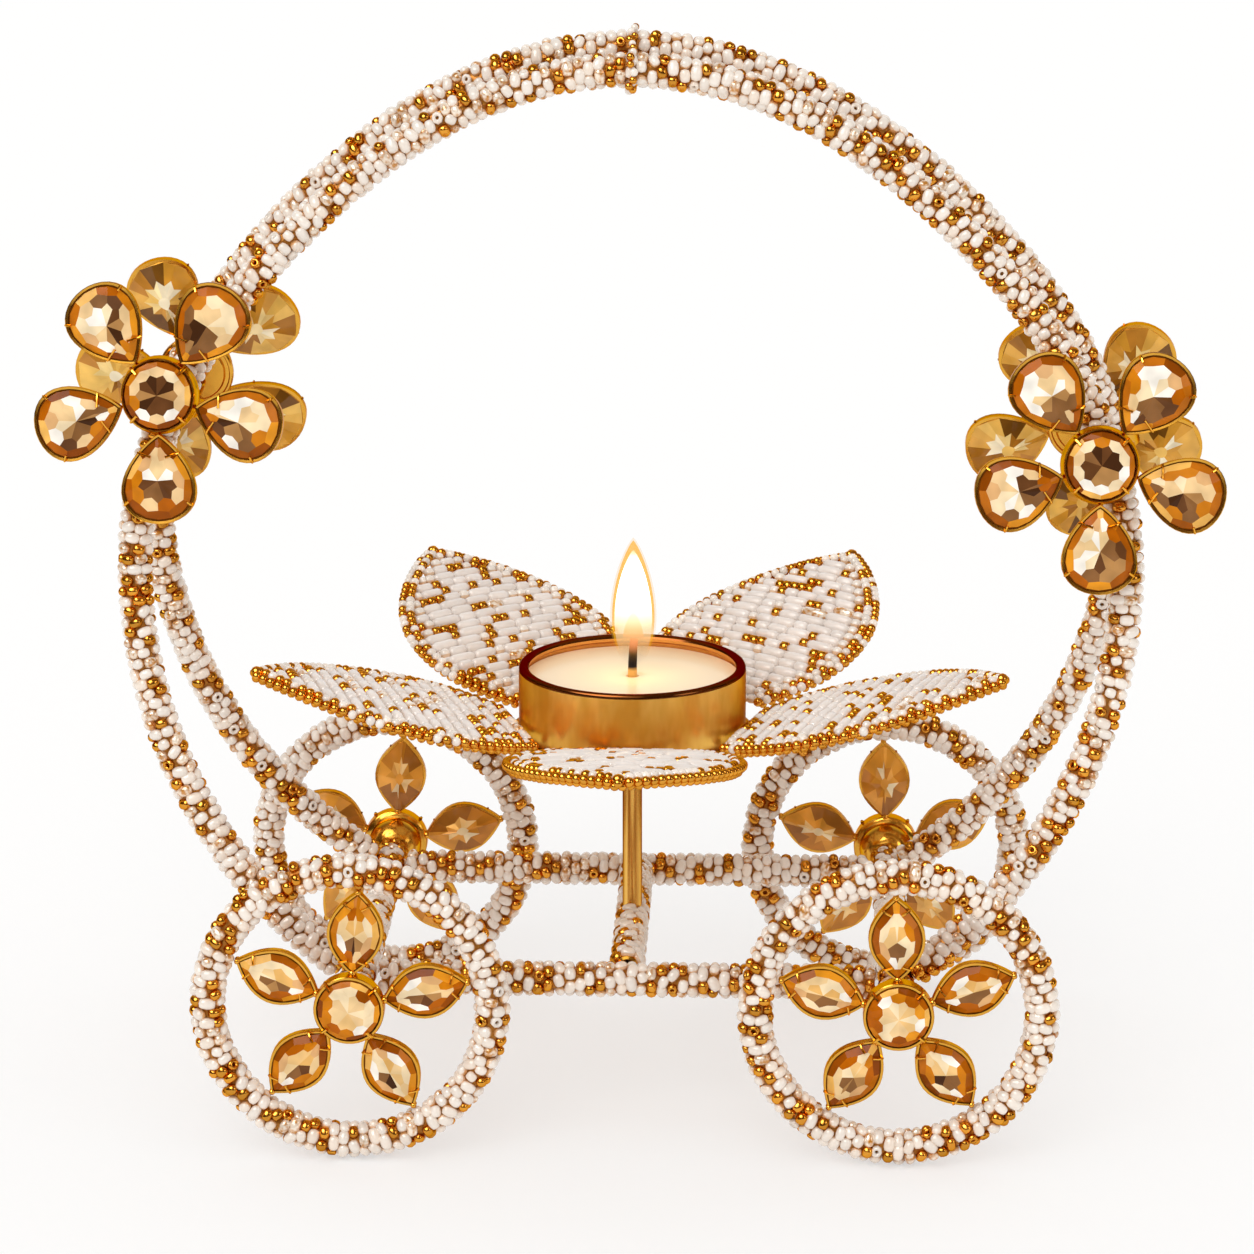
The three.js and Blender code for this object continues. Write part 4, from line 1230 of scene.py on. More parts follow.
@dataclass
class Jewel:
    """A cut stone in a closed gilt setting with wire claws, seen from outside along +Z."""

    palette: Palette
    shape: Callable[[float, float, int], Outline]
    length: float
    width: float
    facets: int = 10
    sides: int = 40
    wall: float = 0.45
    half_height: float = 0.75
    pavilion: float = 2.1
    crown: float = 1.2
    fan: Fan = Fan.SPLIT
    claws: tuple[tuple[float, float, float], ...] = ()
    back: tuple[str, ...] = FLOWER_BACK_TONES
    table: float = 0.74
    # shade: how high a middle facet must lie for painted light, not painted shade; sway: how far the painted
    # light turns at random from the world's up.
    shade: float = 0.0
    sway: float = 0.8
    claw_radius: float = 0.19

    def __post_init__(self) -> None:
        """Shapes the foiled back, the setting and the stone, whose zigzag steps give it its facets."""
        sx = 1 - 2 * self.wall / self.length
        sy = 1 - 2 * self.wall / self.width
        h, p, c, t = self.half_height, self.pavilion, self.crown, self.table
        ease, inner_table = 0.985, self.table * 0.76
        self.outline = self.shape(self.length, self.width, self.sides)
        cut = self.shape(self.length, self.width, 2 * self.facets)
        self.underside = Form(stacked(cut, [
            Level(0.16, 0.16, -h - p * 0.95, 0),
            Level(0.56, 0.56, -h - p * 0.60, 1, odd=0.72),
            Level(0.90, 0.90, -h - p * 0.14, 2, odd=1.05),
            Level(0.94, 0.94, -h + 0.3, 3),
        ]), "foiled_underside", sharp=1.0)
        self.setting = Form(stacked(self.outline, [
            Level(0.93, 0.93, -h - 0.06, 0),
            Level(1.0, 1.0, -h, 2, True),
            Level(1.0, 1.0, h - 0.12, 2, True),
            Level(ease, ease, h, 2, True),
            Level(sx, sy, h - 0.05, 2, True),
            Level(sx * ease, sy * ease, h - 0.40, 3, True),
        ]), "jewel_setting", sharp=40.0)
        self.stone = Form(stacked(cut, [
            Level(sx * 0.90, sy * 0.90, h - 0.38, 0),
            Level(sx * 0.96, sy * 0.96, h - 0.15, 1),
            Level(sx * t, sy * t, h + c * 0.52, 2, odd=1.08),
            Level(sx * inner_table, sy * inner_table, h + c * 0.84, 3, odd=0.80),
        ], peak=h + c), "cut_stone", sharp=1.0)

    def mount(self, piece: Workpiece, place: Matrix) -> None:
        """Sets the jewel into a piece.

        Args:
            piece: The piece that carries it.
            place: Its middle, with Z out of its face.
        """
        p = self.palette
        # The world's up in the jewel's plane, turned a little at random: where the painted light falls on the
        # facets.
        above = (place.to_3x3().inverted() @ UP).xy.normalized()
        lean = Matrix.Rotation(piece.chance.gauss(0, self.sway), 2) @ above
        # Parts 3 and 4, the inner wall and the floor, get the painted shade of the recess.
        piece.stamp(self.setting, place, [p.gilt, p.gilt, p.gilt, p.seat, p.seat])
        piece.stamp(self.underside, place, [p.foil] * 5, self._back(piece))
        piece.stamp(self.stone, place, [p.stone] * 5, self.face(piece, lean))
        for share, along, across in self.claws:
            self._claw(piece, place, round(share * self.sides), along, across)

    def _facet(self, place: int, beside: bool) -> int:
        """Gives the number of the facet that a side of the outline belongs to.

        Args:
            place: Number of the side.
            beside: Whether the facets start at an even point of the outline, not half a facet before it.

        Returns:
            The facet's number, counted round the stone.
        """
        return place // 2 if beside else (place + 1) % (2 * self.facets) // 2

    def _back(self, piece: Workpiece) -> np.ndarray:
        """Colours the foiled back facet by facet with painted reflection: a painted highlight in the middle,
        darker tones round it.
        """
        tints = np.ones((len(self.underside.parts), 4), np.float32)
        drawn: dict[tuple[int, int], Color] = {}
        groups = (self.back[:4], self.back[:6], self.back[3:])
        for i, part, place in self.underside.in_order():
            step = self._facet(place, part == 1) if part else 0
            tone = piece.chance.choice(groups[min(part, 2)])
            tints[i] = drawn.setdefault((part, step), linear(tone))
        return tints

    def face(self, piece: Workpiece, lean: Vector) -> np.ndarray:
        """Colours the stone with painted reflection and shade: amber next to the setting, mixed facets, then
        the fan of the middle, where facets towards the world's up may get painted light and those below
        painted shade.
        """
        chance = piece.chance
        tints = np.ones((len(self.stone.parts), 4), np.float32)
        drawn: dict[tuple[int, int], Color] = {}
        for i, part, place in self.stone.in_order():
            centre = self.stone.centres[i]
            high = Vector((centre[0] / self.length, centre[1] / self.width)).normalized().dot(lean)
            if part <= 1:
                tints[i] = linear(GIRDLE_TONE)
                continue
            if part == 2:
                tone = chance.choice(AMBER_TONES)
            elif part == 3:
                tone = self._ring_tone(chance, high)
            else:
                tone = self._fan_tone(chance, high)
            tints[i] = drawn.setdefault((part, self._facet(place, part == 3)), linear(tone))
        return tints

    def _ring_tone(self, chance: random.Random, high: float) -> str:
        """Chooses the tone of a facet between the amber edge and the middle: painted light above the middle,
        painted shade below, unless the fan has tones of its own.
        """
        split = LIT_RING_TONES if high > 0 else SHADED_RING_TONES
        return chance.choice(RING_TONES.get(self.fan, split))

    def _fan_tone(self, chance: random.Random, high: float) -> str:
        """Chooses the tone of a middle facet from how high it lies in the stone: painted light high up,
        painted shade low down.
        """
        if self.fan in FAN_TONES:
            tones = FAN_TONES[self.fan]
        elif high + chance.uniform(-0.25, 0.25) > self.shade:
            tones = LIT_FAN_TONES[self.fan]
        else:
            tones = SHADED_FAN_TONES
        return chance.choice(tones)

    def _claw(self, piece: Workpiece, place: Matrix, number: int, along: float, across: float) -> None:
        """Bends one wire claw from the setting's wall over the edge of the stone.

        Args:
            piece: The piece that carries it.
            place: Middle of the jewel.
            number: Outline point that it starts from.
            along: Share of that point's length at which it ends.
            across: Share of that point's width at which it ends.
        """
        x, y = self.outline[number % len(self.outline)]
        h, (mid_x, mid_y) = self.half_height, ((1 + along) / 2, (1 + across) / 2)
        bend = Through([
            Vector((x * 0.985, y * 0.985, h - 0.3)),
            Vector((x * 0.995, y * 0.995, h + 0.10)),
            Vector((x * (0.6 + 0.4 * mid_x), y * (0.6 + 0.4 * mid_y), h + 0.44)),
            Vector((x * mid_x, y * mid_y, h + self.crown * 0.62)),
            Vector((x * along, y * across, h + self.crown * 0.78)),
        ], UP)
        wire = tube(bend.frames(7), [self.claw_radius] * 7 + [self.claw_radius + 0.05], 6)
        piece.stamp(Form(wire, "claw"), place, [self.palette.gilt], CLAW_TINT)


@dataclass
class Hoops:
    """The two beaded hoops that lean together over the carriage, and the tie of their tops."""

    palette: Palette
    box: BeadBox
    strand: Strand
    radius: float = 80.3
    rear_extra: float = 1.2
    foot_x: float = AXLE_X
    foot_y: float = FOOT_Y
    foot_z: float = AXLE_Z
    top_spread: float = 3.397
    end_gap: float = 3.547
    shoulder_draw: float = 4.0
    line_steps: int = 240
    tie_reach: float = 3.347
    tie_corners: int = 16
    tie_pitch: float = 1.30

    def place(self, rear: bool) -> tuple[Matrix, float, float]:
        """Gives the plane of a hoop.

        Args:
            rear: Whether it is the rear hoop.

        Returns:
            Its place, its radius and the height of its centre in that place.
        """
        radius = self.radius + (self.rear_extra if rear else 0.0)
        centre = math.sqrt(radius ** 2 - self.foot_x ** 2)
        lean = math.asin((self.foot_y - self.top_spread) / (radius + centre))
        half = Matrix.Rotation(math.pi if rear else 0.0, 4, "Z")
        foot = Matrix.Translation((0, -self.foot_y, self.foot_z))
        return half @ foot @ Matrix.Rotation(math.pi / 2 - lean, 4, "X"), radius, centre

    def reach(self, radius: float, angle: float) -> float:
        """Gives the distance from a hoop's centre to its strand, whose upper half is drawn in."""
        draw = self.shoulder_draw * math.sin(2 * angle) ** 2 if math.sin(angle) > 0 else 0.0
        return radius - draw

    def outward(self, radius: float, angle: float) -> float:
        """Gives the direction square to the strand at an angle."""
        slope = -2 * self.shoulder_draw * math.sin(4 * angle) if math.sin(angle) > 0 else 0.0
        return angle - math.atan2(slope, self.reach(radius, angle))

    def line(self, rear: bool) -> Through:
        """Gives the middle line of a hoop's strand.

        Args:
            rear: Whether it is the rear hoop.

        Returns:
            The line from its right foot over the top to its left foot, as its own half of the frame has them.
        """
        place, radius, centre = self.place(rear)
        start = -math.asin(centre / radius) + self.end_gap / radius
        points = []
        for i in range(self.line_steps + 1):
            angle = start + (math.pi - 2 * start) * i / self.line_steps
            reach = self.reach(radius, angle)
            points.append(place @ Vector((reach * math.cos(angle), centre + reach * math.sin(angle), 0.0)))
        return Through(points, place.to_3x3() @ UP)

    def build(self) -> None:
        """Makes both hoops and the tie."""
        tops = []
        for rear in (False, True):
            name = "rear_hoop" if rear else "front_hoop"
            place, radius, centre = self.place(rear)
            path = self.line(rear)
            piece = Workpiece(f"{name}_beads")
            self.strand.sew(piece, path)
            for end, turn in ((0.0, math.pi), (path.length, 0.0)):
                self.strand.open_end(piece, path.at(end) @ Matrix.Rotation(turn, 4, "Y"))
            piece.finish("carriage", [name])
            tops.append(place @ Vector((0, centre + radius, 0)))
        self._tie(tops[0], tops[1])

    def _tie(self, front: Vector, rear: Vector) -> None:
        """Winds a string of mixed beads round both tops."""
        piece = Workpiece("hoop_tie_beads")
        across = rear - front
        middle = (front + rear) / 2
        along = across.normalized()
        up = along.cross(Vector((1, 0, 0))).normalized()
        up = up if up.z > 0 else -up
        reach, half = self.tie_reach, across.length / 2
        points = []
        for i in range(self.tie_corners + 1):
            angle = math.tau * (i + 0.5) / self.tie_corners
            shift = half if math.cos(angle) > 0 else -half
            points.append(middle + along * (shift + reach * math.cos(angle)) + up * reach * math.sin(angle))
        path = Through(points, Vector((1, 0, 0)))
        count = round(path.length / self.tie_pitch)
        for i in range(count):
            spot = path.at(i * path.length / count)
            grow = piece.chance.uniform(0.58, 0.72)
            level = piece.chance.uniform(0.85, 1.05)
            gilt = self.palette.gilt_bead
            material = piece.chance.choice([gilt, gilt, self.palette.pearl])
            aside = Matrix.Translation((0.0, 0.0, piece.chance.uniform(-0.45, 0.45)))
            place = spot @ aside @ Matrix.Scale(grow, 4)
            piece.stamp(self.box.ball, place, [material], (level, level, level, 1.0))
        piece.finish("carriage", ["hoop_tie"])


@dataclass
class WheelFrame:
    """The beaded bars between the wheels: two side bars, two axle strands and the centre bar."""

    palette: Palette
    strand: Strand
    half_side: float = 40.45
    half_axle: float = 36.2
    half_centre: float = 24.45
    foot_x: float = AXLE_X
    foot_y: float = FOOT_Y
    height: float = AXLE_Z
    centre_height: float = 27.0
    axle_clusters: float = 12.0

    def build(self) -> None:
        """Makes the five strands and gives the axle rods their steel."""
        for name, y in (("front_side_bar", -self.foot_y), ("rear_side_bar", self.foot_y)):
            start, end = Vector((-self.half_side, y, self.height)), Vector((self.half_side, y, self.height))
            self._bar(name, start, end)
        for name, x in (("left_axle", -self.foot_x), ("right_axle", self.foot_x)):
            start, end = Vector((x, -self.half_axle, self.height)), Vector((x, self.half_axle, self.height))
            self._bar(f"{name}_strand", start, end, self.axle_clusters)
            dress_node(f"{name}_rod", self.palette.steel)
        start = Vector((0, -self.half_centre, self.centre_height))
        end = Vector((0, self.half_centre, self.centre_height))
        self._bar("centre_bar", start, end, open_start=True)

    def _bar(
        self, name: str, start: Vector, end: Vector, clusters: float = 0.0, open_start: bool = False,
    ) -> None:
        """Sews one straight strand.

        Args:
            name: CAD node that it stands for.
            start: Its first end.
            end: Its other end.
            clusters: How far gilt beads crowd both ends, in millimetres.
            open_start: Whether the first end shows the core's open tube.
        """
        piece = Workpiece(f"{name}_beads")
        line = Straight(start, end, UP)
        self.strand.sew(piece, line, clusters=clusters)
        if open_start:
            self.strand.open_end(piece, line.at(0.0) @ Matrix.Rotation(math.pi, 4, "Y"))
        piece.finish("carriage", [name])


@dataclass
class Wheel:
    """A beaded ring on a star of five marquise jewels round a domed hub."""

    palette: Palette
    box: BeadBox
    strand: Strand
    name: str
    place: Matrix
    phase: float
    ring_radius: float = 22.93
    hub_radius: float = 5.7
    dome_radius: float = 4.7
    hub_back: float = 5.4
    cup_height: float = 2.2
    root: float = 5.45
    tip: float = 19.7
    jewel_width: float = 9.1
    spokes: int = 5

    def build(self) -> None:
        """Makes the ring, the star and the hub's stone."""
        body = f"{self.name}_wheel"
        rim = Workpiece(f"{body}_rim_beads")
        self.strand.sew(rim, Arc(self.place, Vector((0, 0, 0)), self.ring_radius), closed=True)
        rim.finish(body, [f"{body}_rim"])
        turned = self.place @ Matrix.Rotation(math.radians(self.phase), 4, "Z")
        star = Workpiece(f"{body}_jewel_star")
        self._hub(star, turned)
        length = self.tip - self.root
        jewel = Jewel(
            self.palette, marquise, length, self.jewel_width, facets=8, table=0.70, fan=Fan.WARM, shade=-0.35,
            sway=0.35, claws=tuple((share, 0.86, 0.35) for share in (0.125, 0.375, 0.625, 0.875)),
            back=WHEEL_BACK_TONES,
        )
        for i in range(self.spokes):
            spoke = turned @ Matrix.Rotation(math.pi / 2 + i * math.tau / self.spokes, 4, "Z")
            jewel.mount(star, spoke @ Matrix.Translation((self.root + length / 2, 0, 0)))
            for reach, size in ((self.root + 0.35, 0.62), (self.tip - 0.2, 0.5)):
                for z in (0.55, -0.35):
                    spot = spoke @ Matrix.Translation((reach, 0.0, z)) @ Matrix.Scale(size, 4)
                    star.stamp(self.box.ball, spot, [self.palette.gilt], (1.1, 1.1, 1.1, 1.0))
        star.finish(body, [f"{body}_star"])
        stone = Workpiece(f"{body}_hub_jewel")
        round_stone(stone, self.palette, turned, self.hub_radius - 0.55, 0.45, self.cup_height, Fan.CREAM)
        stone.finish(body, [f"{body}_hub_stone"])

    def _hub(self, star: Workpiece, place: Matrix) -> None:
        """Turns the hub: its dome towards the axle and its cup for the stone."""
        r, d, b, c = self.hub_radius, self.dome_radius, self.hub_back, self.cup_height
        profile = [
            (1.3, -b + 0.05), (2.1, -b + 0.02), (2.9, -b + 0.4), (3.6, -b + 1.05), (4.2, -b + 1.95),
            (4.55, -b + 2.9), (d, -b + 3.9), (d, -1.0), (r - 0.25, -0.75), (r, -0.45), (r, c - 0.15),
            (r - 0.12, c), (r - 0.45, c), (r - 0.5, c - 0.2), (r - 0.5, 0.3), (2.4, 0.3), (2.4, -0.85),
            (1.3, -0.85), (1.3, -b + 0.05),
        ]
        # The last six sides, inside the hub's cup and its bore, get the painted shade of the recess.
        parts = [0] * 12 + [1] * 6
        hub = Form(spun(profile, 36, parts), "wheel_hub")
        star.stamp(hub, place, [self.palette.gilt, self.palette.seat])
        for i in range(4):
            round_claw(star, self.palette, place, self.hub_radius, c, (i + 0.5) * math.pi / 2)


def round_stone(
    piece: Workpiece, palette: Palette, place: Matrix, radius: float, seat: float, rim: float, fan: Fan,
) -> None:
    """Sets a round cut stone.

    Args:
        piece: The piece that gets it.
        palette: The materials.
        place: Middle of its setting, with Z out of its face.
        radius: Radius of the stone.
        seat: Height of its pointed foot.
        rim: Height of its setting's rim.
        fan: How its middle looks.
    """
    jewel = Jewel(palette, disc, 2 * radius, 2 * radius, fan=fan)
    jewel.stone = Form(stacked(disc(2 * radius, 2 * radius, 2 * jewel.facets), [
        Level(0.4, 0.4, seat, 0), Level(1.0, 1.0, rim - 0.5, 1), Level(0.97, 0.97, rim + 0.05, 1),
        Level(0.80, 0.80, rim + 0.55, 2, odd=1.06), Level(0.62, 0.62, rim + 1.0, 3, odd=0.84),
    ], peak=rim + 1.15), "round_stone", sharp=1.0)
    up = place.to_3x3().inverted() @ UP
    piece.stamp(jewel.stone, place, [palette.stone] * 5, jewel.face(piece, Vector((up.x, up.y)).normalized()))


def round_claw(
    piece: Workpiece, palette: Palette, place: Matrix, radius: float, rim: float, angle: float,
) -> None:
    """Bends a wire claw over the rim of a round setting.

    Args:
        piece: The piece that gets it.
        palette: The materials.
        place: Middle of the setting.
        radius: Outer radius of the setting.
        rim: Height of its rim.
        angle: Direction of the claw.
    """
    out = Vector((math.cos(angle), math.sin(angle), 0.0))
    bend = Through([
        out * (radius + 0.15) + UP * (rim - 1.0), out * (radius + 0.18) + UP * (rim + 0.05),
        out * (radius - 0.25) + UP * (rim + 0.4), out * (radius - 1.2) + UP * (rim + 0.75),
    ], UP)
    wire = tube(bend.frames(6), [0.26] * 6 + [0.32], 6)
    piece.stamp(Form(wire, "round_claw"), place, [palette.gilt], (1.15, 1.15, 1.1, 1.0))


@dataclass
class Flower:
    """Five pear jewels round a round stone, on a plate that a clip holds to the hoop."""

    palette: Palette
    name: str
    hoop: Matrix
    centre_y: float
    radius: float
    angle: float
    inset: float
    turn: float
    outward: float
    clip_inner: float = 3.672
    clip_wall: float = 0.9
    clip_width: float = 3.4
    clip_top: float = 5.372
    seat_height: float = 7.622
    petal_length: float = 14.5
    petal_width: float = 12.1
    petal_reach: float = 13.42
    petals: int = 5
    centre_radius: float = 5.9
    centre_rim: float = 1.35
    plate_radius: float = 6.7

    def build(self) -> None:
        """Makes the clip, the setting with its petals and the middle stone."""
        out = Vector((math.cos(self.angle), math.sin(self.angle), 0.0))
        spot = self.hoop @ Matrix.Translation(Vector((0, self.centre_y, 0)) + out * self.radius)
        self._clip(spot @ Matrix.Rotation(self.outward, 4, "Z"))
        place = spot @ Matrix.Translation(-out * self.inset + UP * self.seat_height)
        place = place @ Matrix.Rotation(math.radians(self.turn), 4, "Z")
        setting = Workpiece(f"{self.name}_jewel_petals")
        jewel = Jewel(
            self.palette, pear, self.petal_length, self.petal_width,
            claws=((0.143, 0.84, 0.35), (0.857, 0.84, 0.35), (0.357, 0.84, 0.84), (0.643, 0.84, 0.84)),
        )
        for i in range(self.petals):
            arm = place @ Matrix.Rotation(-math.pi / 2 + i * math.tau / self.petals, 4, "Z")
            jewel.mount(setting, arm @ Matrix.Translation((self.petal_reach, 0, 0)))
        c, r, rim = self.centre_radius, self.plate_radius, self.centre_rim
        profile = [
            (0.0, -1.95), (r - 2.0, -1.95), (r - 1.7, -1.6), (r - 1.1, -1.6), (r - 0.9, -1.95),
            (r - 0.6, -1.95), (r - 0.35, -1.7), (r - 0.35, -1.0), (r - 0.5, -0.6), (c, 0.1),
            (c, rim - 0.12), (c - 0.10, rim), (c - 0.26, rim), (c - 0.36, rim - 0.2), (c - 0.36, -0.4),
            (0.0, -0.4),
        ]
        # The last two sides, inside the plate's cup, get the painted shade of the recess.
        parts = [0] * 13 + [1] * 2
        plate = Form(spun(profile, 40, parts), "flower_plate")
        setting.stamp(plate, place, [self.palette.gilt, self.palette.seat])
        for i in range(4):
            round_claw(setting, self.palette, place, c, rim, (i + 0.5) * math.pi / 2)
        setting.finish("carriage", [f"{self.name}_setting"])
        stone = Workpiece(f"{self.name}_centre_jewel")
        round_stone(stone, self.palette, place, c - 0.40, -0.1, rim, Fan.DARK)
        stone.finish("carriage", [f"{self.name}_centre_stone"])

    def _clip(self, place: Matrix) -> None:
        """Turns the band round the strand and the pad under the flower's plate."""
        piece = Workpiece(f"{self.name}_band")
        i, o = self.clip_inner, self.clip_inner + self.clip_wall
        half = self.clip_width / 2
        band = spun([
            (i, -half), (o - 0.2, -half), (o, 0.2 - half), (o, half - 0.2), (o - 0.2, half), (i, half),
            (i, -half),
        ], 32)
        along = place @ Matrix.Rotation(-math.pi / 2, 4, "X")
        piece.stamp(Form(band, "clip_band"), along, [self.palette.gilt])
        pad = spun([
            (0.0, i + 0.36), (3.3, i + 0.36), (3.5, i + 0.6), (3.5, self.clip_top), (0.0, self.clip_top),
        ], 24)
        piece.stamp(Form(pad, "clip_pad"), place, [self.palette.gilt])
        piece.finish("carriage", [f"{self.name}_clip"])


@dataclass
class Leaf:
    """A leaf of bugle beads in rows across, edged with a triple string of beads."""

    LENGTHS = (2.6, 3.2, 4.0, 4.6, 5.2)  # of the white bugle beads

    palette: Palette
    box: BeadBox
    name: str
    turn: float
    rise: float
    start: float = 12.0
    reach: float = 65.5
    width: float = 39.6
    inner: float = 19.4
    root_height: float = 61.8
    arch: float = 0.7
    droop: float = -2.0
    root_power: float = 0.76
    tip_power: float = 0.9
    row_pitch: float = 2.06
    first_row: float = 2.2
    blade_inset: float = 3.0
    edge_inset: float = 1.62
    edge_pitch: float = 1.56
    edge_start: float = 22.4
    seed_length: float = 1.75
    gilt_length: float = 1.55
    bead_radius: float = 0.96
    under_radius: float = 0.78
    bead_gap: float = 0.06
    seed_share: float = 0.08
    gilt_share: float = 0.28
    edge_gilt: float = 1.0

    def half_width(self, reach: float) -> float:
        """Gives half the leaf's width at a distance from the post."""
        root, tip = self.root_power, self.tip_power
        s = min(1.0, max(0.0, (reach - self.start) / (self.reach - self.start)))
        peak = (root / (root + tip)) ** root * (tip / (root + tip)) ** tip
        return self.width / 2 * s ** root * (1 - s) ** tip / peak

    def surface(self, reach: float, side: float) -> float:
        """Gives the height of the leaf's middle layer."""
        s = max(0.0, (reach - self.inner) / (self.reach - self.inner))
        across = side / (self.width / 2)
        bow = self.arch * 4 * s * (1 - s)
        return self.root_height + self.rise * s + bow + self.droop * across * across * s

    def side(self, inset: float) -> np.ndarray:
        """Moves the outline of one long side inward.

        Args:
            inset: Distance that it moves.

        Returns:
            Reach and half width of each point, from the root to the tip.
        """
        steps = 400
        step = (self.reach - self.start) / steps
        points = []
        for i in range(1, steps):
            reach = self.start + i * step
            slope = (self.half_width(reach + step / 2) - self.half_width(reach - step / 2)) / step
            along = math.hypot(1, slope)
            x, y = reach + inset * slope / along, self.half_width(reach) - inset / along
            if y > 0 and (not points or x > points[-1][0]):
                points.append((x, y))
        return np.array(points)

    def build(self) -> None:
        """Makes the beaded blade and its edging."""
        place = Matrix.Rotation(math.radians(self.turn), 4, "Z")
        blade = Workpiece(f"{self.name}_leaf_beads")
        edge = self.side(self.blade_inset)
        for on_top, shift in ((True, 0.0), (False, self.row_pitch / 2)):
            row = self.start + self.first_row + shift
            while row < edge[-1, 0] - 0.3:
                limit = float(np.interp(row, edge[:, 0], edge[:, 1]))
                self._row(blade, place, row, limit, on_top)
                row += self.row_pitch
        blade.finish("carriage", [f"{self.name}_leaf"])
        self._edging(place)

    def _row(self, piece: Workpiece, place: Matrix, reach: float, limit: float, on_top: bool) -> None:
        """Strings one row of beads across the leaf.

        Args:
            piece: The blade.
            place: The leaf's direction round the post.
            reach: Distance of the row from the post.
            limit: Half the length of the row.
            on_top: Whether the row lies on the leaf's top, and not on its underside.
        """
        chance = piece.chance
        thick, lift = (self.bead_radius, 0.26) if on_top else (self.under_radius, -0.42)
        y = -limit
        while y < limit - 0.5:
            kind = chance.random()
            seed = y < -limit + 0.5 or limit - y < 2.4 or kind < self.seed_share
            gilt = not seed and on_top and kind < self.seed_share + self.gilt_share
            length = self.seed_length if seed else self.gilt_length if gilt else chance.choice(self.LENGTHS)
            length = min(length, limit - y)
            middle = y + length / 2
            y += length + self.bead_gap
            if math.hypot(reach, middle) < self.inner + 0.55 or length < 0.9:
                continue
            slope = self.surface(reach, middle + 0.5) - self.surface(reach, middle - 0.5)
            radius = thick * chance.uniform(0.93, 1.03)
            height = self.surface(reach, middle) + lift + chance.uniform(-0.06, 0.06)
            spot = Matrix.Translation((reach, middle, height))
            tilt = Matrix.Rotation(math.atan(slope), 4, "X") @ Matrix.Rotation(chance.gauss(0, 0.02), 4, "Z")
            level = chance.uniform(0.90, 1.0)
            tint = np.array((level, level, level, 1.0))
            form = self.box.bugle
            if seed:
                form = self.box.seed
                material = self.palette.gilt_bead if chance.random() < 0.22 else self.palette.pearl
                # Painted shade at the bead's foot, where it meets its neighbours.
                tint = tint * self.box.seed_painted_shade
            elif gilt:
                material = self.palette.gilt_bead
            else:
                material = self.palette.crystal if chance.random() < 0.05 else self.palette.bugle
            size = Matrix.Diagonal((radius, length / 2, radius, 1.0))
            piece.stamp(form, place @ spot @ tilt @ size, [material], tint)

    def _edging(self, place: Matrix) -> None:
        """Strings the beads round the leaf: a mixed one on top, a gilt one outside it and one below."""
        piece = Workpiece(f"{self.name}_leaf_edging_beads")
        kept = [p for p in self.side(self.edge_inset) if math.hypot(*p) >= self.edge_start and p[1] >= 0.5]
        points = [Vector((x, y, self.surface(x, y))) for x, y in kept]
        tip = points[-1].x + 0.4
        mirrored = [Vector((p.x, -p.y, p.z)) for p in reversed(points)]
        path = Through(points + [Vector((tip, 0.0, self.surface(tip, 0.0)))] + mirrored, UP)
        strings = ((-0.62, 0.48, 0.80, 0.5), (0.66, 0.10, 0.80, self.edge_gilt), (0.0, -0.66, 0.76, 1.0))
        for out, lift, radius, gilt in strings:
            count = round(path.length / self.edge_pitch)
            for i in range(count):
                spot = path.at((i + (0.5 if out > 0 else 0.0)) * path.length / count)
                size = radius * piece.chance.uniform(0.94, 1.04)
                level = piece.chance.uniform(0.85, 1.08)
                shift = Matrix.Translation((0.0, out, lift)) @ Matrix.Scale(size, 4)
                material = self.palette.gilt_bead if piece.chance.random() < gilt else self.palette.pearl
                piece.stamp(self.box.ball, place @ spot @ shift, [material], (level, level, level, 1.0))
        crown = Matrix.Translation((tip - 0.1, 0.0, self.surface(tip, 0.0) + 0.35)) @ Matrix.Scale(1.04, 4)
        piece.stamp(self.box.ball, place @ crown, [self.palette.gilt_bead])
        piece.finish("carriage", [f"{self.name}_leaf_edging"])


@dataclass
class Stand:
    """The gilt post on the centre bar and the dish that it carries."""

    palette: Palette
    foot: float = 26.8
    top: float = 56.9
    tube_radius: float = 1.65
    bore_radius: float = 1.15
    flange_radius: float = 7.0
    dish_under: float = 57.2
    dish_floor: float = 58.4
    dish_rim: float = 60.3
    dish_outer: float = 20.6
    dish_inner: float = 19.3

    def build(self) -> None:
        """Turns the post and the dish."""
        p, t = self.tube_radius, self.top
        post = Workpiece("gilt_candle_post")
        flange = t - 1.2
        b, f = self.bore_radius, self.flange_radius
        profile = [
            (b, self.foot), (p, self.foot), (p, flange - 1.9), (p + 0.3, flange - 1.0),
            (p + 0.9, flange - 0.3), (p + 1.6, flange), (f - 0.3, flange), (f, flange + 0.3),
            (f, t - 0.2), (f - 0.2, t), (b, t), (b, self.foot),
        ]
        post.stamp(Form(spun(profile, 48), "post"), IN_PLACE, [self.palette.tube])
        post.finish("carriage", ["candle_post"])
        u, o, i, rim = self.dish_under, self.dish_outer, self.dish_inner, self.dish_rim
        dish = Workpiece("gilt_candle_dish")
        profile = [
            (0.0, u), (o - 1.4, u), (o - 0.6, u + 0.25), (o - 0.1, u + 0.9), (o, u + 1.4), (o, rim - 0.25),
            (o - 0.25, rim), (i + 0.2, rim), (i, rim - 0.2), (i, self.dish_floor), (0.0, self.dish_floor),
        ]
        dish.stamp(Form(spun(profile, 72), "dish"), IN_PLACE, [self.palette.cup])
        dish.finish("carriage", ["candle_dish"])


